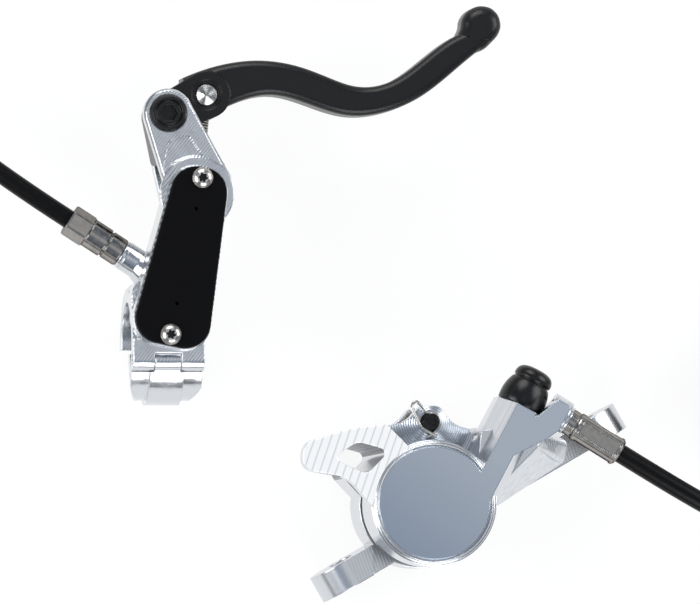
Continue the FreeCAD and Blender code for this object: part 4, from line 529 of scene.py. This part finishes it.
# Rim round that face: bright metal with turned steps, which show as fine rings.
# The steps are about 0.2 mm wide on the real part and 0.6 mm here, so that they show.
STEP_PITCH = 0.0006
rim_aluminium, tree, shader = new_material("step_turned_aluminium")
place = add(tree, "ShaderNodeTexCoord").outputs["Object"]
from_axis = add(tree, "ShaderNodeMapping", {"Vector": place, "Location": -CALIPER})
steps = add(tree, "ShaderNodeTexWave", {
    "Vector": from_axis.outputs["Vector"], "Scale": wave_scale(STEP_PITCH)}, wave_type="RINGS",
    rings_direction="Z")
step_colour = add(tree, "ShaderNodeMix", {
    "Factor": steps.outputs["Fac"], "A": linear("#A9B0B9"), "B": linear("#E2E4E7")}, data_type="RGBA")
rounded_edge = add(tree, "ShaderNodeBevel", {"Radius": 0.0003}, samples=EDGE_SAMPLES)
step_bump = add(tree, "ShaderNodeBump", {
    "Height": steps.outputs["Fac"], "Distance": 0.0001, "Strength": 0.5,
    "Normal": rounded_edge.outputs["Normal"]})
fill(shader, {
    "Base Color": step_colour.outputs["Result"], "Metallic": 1.0, "Roughness": 0.22,
    "Normal": step_bump.outputs["Normal"]})
RIM_INNER, RIM_OUTER = 0.0144, 0.0165
RIM_LOW, RIM_HIGH = 0.0195, FACE_HEIGHT - HEIGHT_SLACK / 2
RIM_TILT = 0.2
dress_faces("caliper_body", rim_aluminium,
            lambda spot, normal: normal.z > RIM_TILT and RIM_LOW < spot.z - CALIPER.z < RIM_HIGH
            and RIM_INNER < (spot.xy - CALIPER.xy).length < RIM_OUTER)

# Slopes of the tower and its web, milled lengthwise with the side of a cutter: pale metal
# with fine streaks. They are about 0.2 mm apart on the real part and 0.7 mm here, to show.
STREAK_PITCH, STREAK_LENGTH = 0.0007, 0.020
streaked_aluminium, tree, shader = new_material("side_milled_aluminium")
place = add(tree, "ShaderNodeTexCoord").outputs["Object"]
tower_turn = add(tree, "ShaderNodeVectorRotate", {"Vector": place, "Angle": -TOWER_TURN})
along_tower = add(tree, "ShaderNodeMapping", {
    "Vector": tower_turn.outputs["Vector"],
    "Scale": (1 / STREAK_LENGTH, 1 / STREAK_PITCH, 1 / STREAK_PITCH)})
streaks = add(tree, "ShaderNodeTexNoise", {
    "Vector": along_tower.outputs["Vector"], "Scale": 1.0, "Detail": 3.0})
streak_colour = add(tree, "ShaderNodeMix", {
    "Factor": streaks.outputs["Fac"], "A": linear("#B4BAC2"), "B": linear("#F2F3F4")}, data_type="RGBA")
rounded_edge = add(tree, "ShaderNodeBevel", {"Radius": 0.0005}, samples=EDGE_SAMPLES)
streak_bump = add(tree, "ShaderNodeBump", {
    "Height": streaks.outputs["Fac"], "Distance": 0.0001, "Strength": 0.4,
    "Normal": rounded_edge.outputs["Normal"]})
fill(shader, {
    "Base Color": streak_colour.outputs["Result"], "Metallic": 1.0, "Roughness": 0.28,
    "Normal": streak_bump.outputs["Normal"]})
SLOPE_LOW, SLOPE_LEFT = 0.004, 0.008
STEEPEST, FLATTEST = 0.25, 0.92
tower_foot = CALIPER + Vector((0.0165, 0.0030, 0))
tower_way = Vector((math.cos(TOWER_TURN), math.sin(TOWER_TURN), 0))
dress_faces("caliper_body", streaked_aluminium,
            lambda spot, normal: STEEPEST < normal.z < FLATTEST and spot.z - CALIPER.z > SLOPE_LOW
            and spot.x - CALIPER.x > SLOPE_LEFT and (spot.xy - CALIPER.xy).length > RIM_OUTER
            and (spot - tower_foot).dot(tower_way) > 0)

# Wing finished with a wide cutter in slanting strokes 2.0 mm apart: a matt, white metal
# with a thin gray line where two strokes meet.
STROKE_PITCH, STROKE_TURN = 0.0020, math.radians(19)
stroked_aluminium, tree, shader = new_material("cutter_stroked_aluminium")
place = add(tree, "ShaderNodeTexCoord").outputs["Object"]
stroke_turn = add(tree, "ShaderNodeMapping", {"Vector": place, "Rotation": (0, 0, STROKE_TURN)})
strokes = add(tree, "ShaderNodeTexWave", {
    "Vector": stroke_turn.outputs["Vector"], "Scale": wave_scale(STROKE_PITCH), "Distortion": 0.5,
    "Detail": 1.0, "Detail Scale": 0.6}, wave_type="BANDS", bands_direction="X")
stroke_meeting = add(tree, "ShaderNodeMapRange", {
    "Value": strokes.outputs["Fac"], "From Min": 0.0, "From Max": 0.16, "To Min": 1.0, "To Max": 0.0})
stroke_colour = add(tree, "ShaderNodeMix", {
    "Factor": stroke_meeting.outputs["Result"], "A": linear("#F4F3F1"), "B": linear("#D0D1D3")},
    data_type="RGBA")
rounded_edge = add(tree, "ShaderNodeBevel", {"Radius": 0.0005}, samples=EDGE_SAMPLES)
stroke_bump = add(tree, "ShaderNodeBump", {
    "Height": strokes.outputs["Fac"], "Distance": 0.0001, "Strength": 0.25,
    "Normal": rounded_edge.outputs["Normal"]})
fill(shader, {
    "Base Color": stroke_colour.outputs["Result"], "Metallic": 0.55, "Roughness": 0.45,
    "Normal": stroke_bump.outputs["Normal"]})
WING_HEIGHT = 0.0205
dress_faces("caliper_body", stroked_aluminium,
            lambda spot, normal: normal.z > LEVEL and abs(spot.z - CALIPER.z - WING_HEIGHT) < HEIGHT_SLACK)

# Walls of the wing's hole, cut with the side of a long thin cutter, with upright chatter marks 1.6 mm apart.
# Their dull dark gray is painted shade inside the hole.
CHATTER_PITCH = 0.0016
shaded_hole_wall_aluminium, tree, shader = new_material("end_milled_aluminium_painted_shade")
place = add(tree, "ShaderNodeTexCoord").outputs["Object"]
chatter = add(tree, "ShaderNodeTexWave", {
    "Vector": place, "Scale": wave_scale(CHATTER_PITCH), "Distortion": 0.6, "Detail": 1.0},
    wave_type="BANDS", bands_direction="X")
# chatter bands are real marks; the dark gray of both colours is painted shade
chatter_and_painted_shade_colour = add(tree, "ShaderNodeMix", {
    "Factor": chatter.outputs["Fac"], "A": linear("#54565E"), "B": linear("#8C8E95")}, data_type="RGBA")
chatter_bump = add(tree, "ShaderNodeBump", {
    "Height": chatter.outputs["Fac"], "Distance": 0.0002, "Strength": 0.4})
fill(shader, {
    "Base Color": chatter_and_painted_shade_colour.outputs["Result"], "Metallic": 1.0, "Roughness": 0.35,
    "Normal": chatter_bump.outputs["Normal"]})
HOLE_LEFT, HOLE_RIGHT, HOLE_LOW, HOLE_HIGH = -0.0280, -0.0110, 0.0068, 0.0162
UPRIGHT, TURNED_DOWN = 0.3, -0.15
dress_faces("caliper_body", shaded_hole_wall_aluminium,
            lambda spot, normal: abs(normal.z) < UPRIGHT and normal.y < TURNED_DOWN
            and HOLE_LEFT < spot.x - CALIPER.x < HOLE_RIGHT and HOLE_LOW < spot.y - CALIPER.y < HOLE_HIGH)

# Lug cut with a ball cutter in steps round the pad pin, 0.6 mm apart: fine contour lines.
CONTOUR_PITCH = 0.0006
contoured_aluminium, tree, shader = new_material("ball_cut_aluminium")
place = add(tree, "ShaderNodeTexCoord").outputs["Object"]
from_pin = add(tree, "ShaderNodeMapping", {
    "Vector": place, "Location": -CALIPER - Vector((0, PAD_PIN_Y, 0))})
contours = add(tree, "ShaderNodeTexWave", {
    "Vector": from_pin.outputs["Vector"], "Scale": wave_scale(CONTOUR_PITCH), "Distortion": 0.3,
    "Detail": 1.0}, wave_type="RINGS", rings_direction="Z")
contour_edge = add(tree, "ShaderNodeMapRange", {
    "Value": contours.outputs["Fac"], "From Min": 0.7, "From Max": 1.0, "To Min": 0.0, "To Max": 1.0})
contour_colour = add(tree, "ShaderNodeMix", {
    "Factor": contour_edge.outputs["Result"], "A": linear("#ADB4BD"), "B": linear("#DFE2E6")},
    data_type="RGBA")
rounded_edge = add(tree, "ShaderNodeBevel", {"Radius": 0.0004}, samples=EDGE_SAMPLES)
contour_bump = add(tree, "ShaderNodeBump", {
    "Height": contours.outputs["Fac"], "Distance": 0.0001, "Strength": 0.4,
    "Normal": rounded_edge.outputs["Normal"]})
fill(shader, {
    "Base Color": contour_colour.outputs["Result"], "Metallic": 1.0, "Roughness": 0.28,
    "Normal": contour_bump.outputs["Normal"]})
LUG_LOW, LUG_HIGH, LUG_FOOT = 0.0087, 0.0125, 0.0120
LUG_TILT = 0.3
dress_faces("caliper_body", contoured_aluminium,
            lambda spot, normal: normal.z > LUG_TILT and LUG_LOW < spot.z - CALIPER.z < LUG_HIGH
            and spot.y - CALIPER.y > LUG_FOOT)


# Caliper pistons with their seals, and the two brake pads with their pin and spring.
# The pistons are stainless cups in rubber rings. Each pad is a steel plate with a
# lining bonded to it, and a blackened pin with a wire clip holds both in.
dress(warm_stainless, "outer_piston", "inner_piston")
dress(black_rubber, "outer_piston_seal", "inner_piston_seal")
dress(turned_steel, "outer_pad_plate", "inner_pad_plate", "pad_spring", "pad_pin_clip")
dress(black_oxide, "pad_pin")

# Sintered compound of the linings: dark and dull, speckled with grit. The grit is about
# 0.3 mm on the real pads and 0.7 mm here, so that it shows.
LINING_GRIT = 0.0007
sintered_lining, tree, shader = new_material("sintered_pad_compound")
place = add(tree, "ShaderNodeTexCoord").outputs["Object"]
grit = add(tree, "ShaderNodeTexNoise", {"Vector": place, "Scale": 1 / LINING_GRIT, "Detail": 4.0})
grit_colour = add(tree, "ShaderNodeMix", {
    "Factor": grit.outputs["Fac"], "A": linear("#2B2724"), "B": linear("#6B5D50")}, data_type="RGBA")
fill(shader, {"Base Color": grit_colour.outputs["Result"], "Roughness": 0.85})
dress(sintered_lining, "outer_pad_lining", "inner_pad_lining")


# Bleed nipple at the top of the caliper's tower, and the rubber cap over it.
# The nipple is turned steel. The cap is moulded in one piece: a round skirt, a
# shallow groove for a finger nail and a flat knob.
dress(turned_steel, "bleed_nipple")
TOWER_TOP = Vector((0.09257, -0.01617, 0.0135))
cap_profile = [(0.05, 0), (0.05, 5.8), (0.4, 6.05), (1.6, 6.2), (3.2, 6.2), (4.6, 6.0), (5.8, 5.65),
               (6.7, 5.3), (7.1, 5.0), (7.25, 4.7), (7.45, 4.7), (7.6, 5.0), (8.0, 5.15), (8.8, 5.1),
               (9.5, 4.85), (10.1, 4.4), (10.5, 3.8), (10.8, 2.9), (10.95, 1.6), (11.0, 0)]
cap_mesh = smooth_mesh("bleed_cap_moulding", round_shape(cap_profile), black_rubber)
bleed_moulding = bpy.data.objects.new("bleed_cap_moulding", cap_mesh)
cap_turn = tower_way.to_track_quat("Z", "Y").to_matrix().to_4x4()
bleed_moulding.matrix_world = Matrix.Translation(TOWER_TOP) @ cap_turn
bpy.context.scene.collection.objects.link(bleed_moulding)
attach(bleed_moulding, "frame")
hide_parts("bleed_cap")


# Brake hose and the strap round its put-away turns.
# A stiff nylon-jacketed hose leaves the lever, runs on the table round the
# back, lies in a tied coil and climbs to the caliper.

# Extruded nylon: black with a thin soft highlight, which the die's drag makes uneven.
# The drag marks are about 0.2 mm on the real hose and 0.8 mm here, so that they show.
DRAG_MARK = 0.0008
matt_nylon, tree, shader = new_material("matt_nylon_jacket")
place = add(tree, "ShaderNodeTexCoord").outputs["Object"]
drag_marks = add(tree, "ShaderNodeTexNoise", {"Vector": place, "Scale": 1 / DRAG_MARK, "Detail": 2.0})
drag_roughness = add(tree, "ShaderNodeMapRange", {
    "Value": drag_marks.outputs["Fac"], "From Min": NOISE_LOW, "From Max": NOISE_HIGH,
    "To Min": 0.30, "To Max": 0.42})
drag_bump = add(tree, "ShaderNodeBump", {
    "Height": drag_marks.outputs["Fac"], "Distance": 0.00002, "Strength": 0.2})
fill(shader, {
    "Base Color": linear("#050506"), "Specular IOR Level": 0.14,
    "Roughness": drag_roughness.outputs["Result"], "Normal": drag_bump.outputs["Normal"]})
dress(matt_nylon, "hose_tie")

# The hose's route, in millimetres. Each turn of the coil climbs by one diameter.
HOSE_DIAMETER = 0.005
lever_run = [tuple(LEVER_HOSE_EXIT / MM), (-42.0, 43.8, 4.2), (-58.5, 57.5, 0.5), (-67.0, 79.0, -7.5),
             (-61.5, 101.5, -14.5), (-40.0, 114.5, -17.5), (-8.0, 118.0, -17.5), (38.0, 117.5, -17.5),
             (88.0, 115.0, -17.5), (134.0, 108.0, -17.5), (171.0, 91.0, -17.5), (196.0, 63.0, -17.5),
             (208.5, 32.0, -16.7)]
caliper_run = [(209.0, -19.0, -6.7), (199.0, -40.5, -3.5), (178.5, -51.0, 3.0), (156.0, -48.4, 10.0),
               (136.0, -38.2, 13.3), (118.3, -27.4, 13.5)]
COIL_X, COIL_Y, COIL_LOW = 182.0, -6.0, -16.7
COIL_RADIUS, COIL_START, COIL_TURNS = 27.5, 12, 2.06
COIL_STEPS = 14
coil_points = []
for step in range(int(COIL_STEPS * COIL_TURNS) + 1):
    angle = math.radians(COIL_START - 360 * step / COIL_STEPS)
    coil_points.append((COIL_X + COIL_RADIUS * math.cos(angle), COIL_Y + COIL_RADIUS * math.sin(angle),
                        COIL_LOW + HOSE_DIAMETER / MM * step / COIL_STEPS))
route = lever_run + coil_points + caliper_run
hose_curve = bpy.data.curves.new("brake_hose", "CURVE")
hose_curve.dimensions = "3D"
hose_curve.bevel_depth = HOSE_DIAMETER / 2
hose_curve.bevel_resolution = 6
hose_curve.resolution_u = 8
hose_spline = hose_curve.splines.new("NURBS")
hose_spline.points.add(len(route) - 1)
for point, spot in zip(hose_spline.points, route):
    point.co = (*(Vector(spot) * MM), 1)
hose_spline.order_u = 3
hose_spline.use_endpoint_u = True
hose_curve.materials.append(matt_nylon)
hose = bpy.data.objects.new("brake_hose", hose_curve)
bpy.context.scene.collection.objects.link(hose)
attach(hose, "frame")
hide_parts("hose_lever_run", "hose_coil", "hose_caliper_run")


# White studio table, soft side lamps, the room and the camera.
# The table is a matt white sheet, and the lamps stand low all round it, so that
# flat tops mirror only the room's pale ceiling.

# Matt white sheet: to the camera and in reflections most of its white is its own, so
# that only a faint shadow is left on it.
OWN_WHITE = 0.86
floor_material, tree, shader = new_material("white_table")
fill(shader, {"Base Color": linear("#F7F7F7"), "Roughness": 0.9})
rays = add(tree, "ShaderNodeLightPath")
seen = add(tree, "ShaderNodeMath", {
    0: rays.outputs["Is Camera Ray"], 1: rays.outputs["Is Glossy Ray"]}, operation="MAXIMUM")
seen_through = add(tree, "ShaderNodeMath", {
    0: seen.outputs["Value"], 1: rays.outputs["Is Transmission Ray"]}, operation="MAXIMUM")
white_share = add(tree, "ShaderNodeMath", {
    0: seen_through.outputs["Value"], 1: OWN_WHITE}, operation="MULTIPLY")
own_white = add(tree, "ShaderNodeEmission", {"Color": linear("#FFFFFF"), "Strength": 1.0})
table_mix = add(tree, "ShaderNodeMixShader", {
    0: white_share.outputs["Value"], 1: shader.outputs["BSDF"], 2: own_white.outputs["Emission"]})
fill(tree.nodes["Material Output"], {"Surface": table_mix.outputs["Shader"]})
FLOOR_HALF = 4.0
FLOOR_Z = cad_box[0].z
floor_mesh = bpy.data.meshes.new("floor")
floor_corners = [(across * FLOOR_HALF, along * FLOOR_HALF, FLOOR_Z)
                 for across, along in ((-1, -1), (1, -1), (1, 1), (-1, 1))]
floor_mesh.from_pydata(floor_corners, [], [(0, 1, 2, 3)])
floor_mesh.materials.append(floor_material)
floor = bpy.data.objects.new("floor", floor_mesh)
bpy.context.scene.collection.objects.link(floor)

# Four square soft boxes, all at one height and aimed at the middle of the picture.
AIM = Vector((0.0481, 0.0109, 0.015))
LAMP_DISTANCE, LAMP_SIZE = 0.9, 0.55
LAMP_LIFT = math.radians(32)
for name, azimuth, watts in (("lamp_left", 190, 5.0), ("lamp_right", 15, 4.0), ("lamp_back", 100, 4.0),
                             ("lamp_front", 280, 4.0)):
    lamp_data = bpy.data.lights.new(name, "AREA")
    lamp_data.energy = watts
    lamp_data.shape = "SQUARE"
    lamp_data.size = LAMP_SIZE
    lamp = bpy.data.objects.new(name, lamp_data)
    turn = math.radians(azimuth)
    way = Vector((math.cos(turn) * math.cos(LAMP_LIFT), math.sin(turn) * math.cos(LAMP_LIFT),
                  math.sin(LAMP_LIFT)))
    lamp.location = AIM + way * LAMP_DISTANCE
    lamp.rotation_euler = way.to_track_quat("Z", "Y").to_euler()
    lamp.visible_camera = False
    bpy.context.scene.collection.objects.link(lamp)

# The room is bright low down, dark at the lamps' height and gray above them. The ramp's
# own two ends stay: black at the horizon, and white straight overhead.
world = bpy.data.worlds.new("studio")
bpy.context.scene.world = world
world.use_nodes = True
tree = world.node_tree
tree.nodes.clear()
direction = add(tree, "ShaderNodeTexCoord").outputs["Generated"]
height = add(tree, "ShaderNodeSeparateXYZ", {"Vector": direction}).outputs["Z"]
ramp = add(tree, "ShaderNodeValToRGB", {"Fac": height})
for place_up, colour in ((0.30, "#F4F5F7"), (0.55, "#59626E"), (0.72, "#8792A1"), (0.95, "#A9B4C2")):
    ramp.color_ramp.elements.new(place_up).color = linear(colour)
background = add(tree, "ShaderNodeBackground", {"Color": ramp.outputs["Color"], "Strength": 0.85})
add(tree, "ShaderNodeOutputWorld", {"Surface": background.outputs["Background"]})

# The photograph looks down on the parts, a little from the left and from below,
# through a long lens: 3.85 of its 700 pixels are a millimetre.
CAMERA_DISTANCE = 2.5
PHOTO_PIXELS, PIXELS_PER_MM = 700, 3.85
SENSOR_WIDTH = 36.0
LEAN_X, LEAN_Y = -0.14, -0.044
back = Vector((LEAN_X, LEAN_Y, 1.0)).normalized()
right = Vector((0, 1, 0)).cross(back).normalized()
camera_data = bpy.data.cameras.new("camera")
camera_data.sensor_width = SENSOR_WIDTH
camera_data.lens = SENSOR_WIDTH * CAMERA_DISTANCE / (PHOTO_PIXELS / PIXELS_PER_MM * MM)
camera = bpy.data.objects.new("camera", camera_data)
camera.matrix_world = Matrix.Translation(AIM + back * CAMERA_DISTANCE) @ Matrix(
    (right, back.cross(right), back)).transposed().to_4x4()
bpy.context.scene.collection.objects.link(camera)
bpy.context.scene.camera = camera
bpy.context.scene.view_settings.view_transform = "Standard"
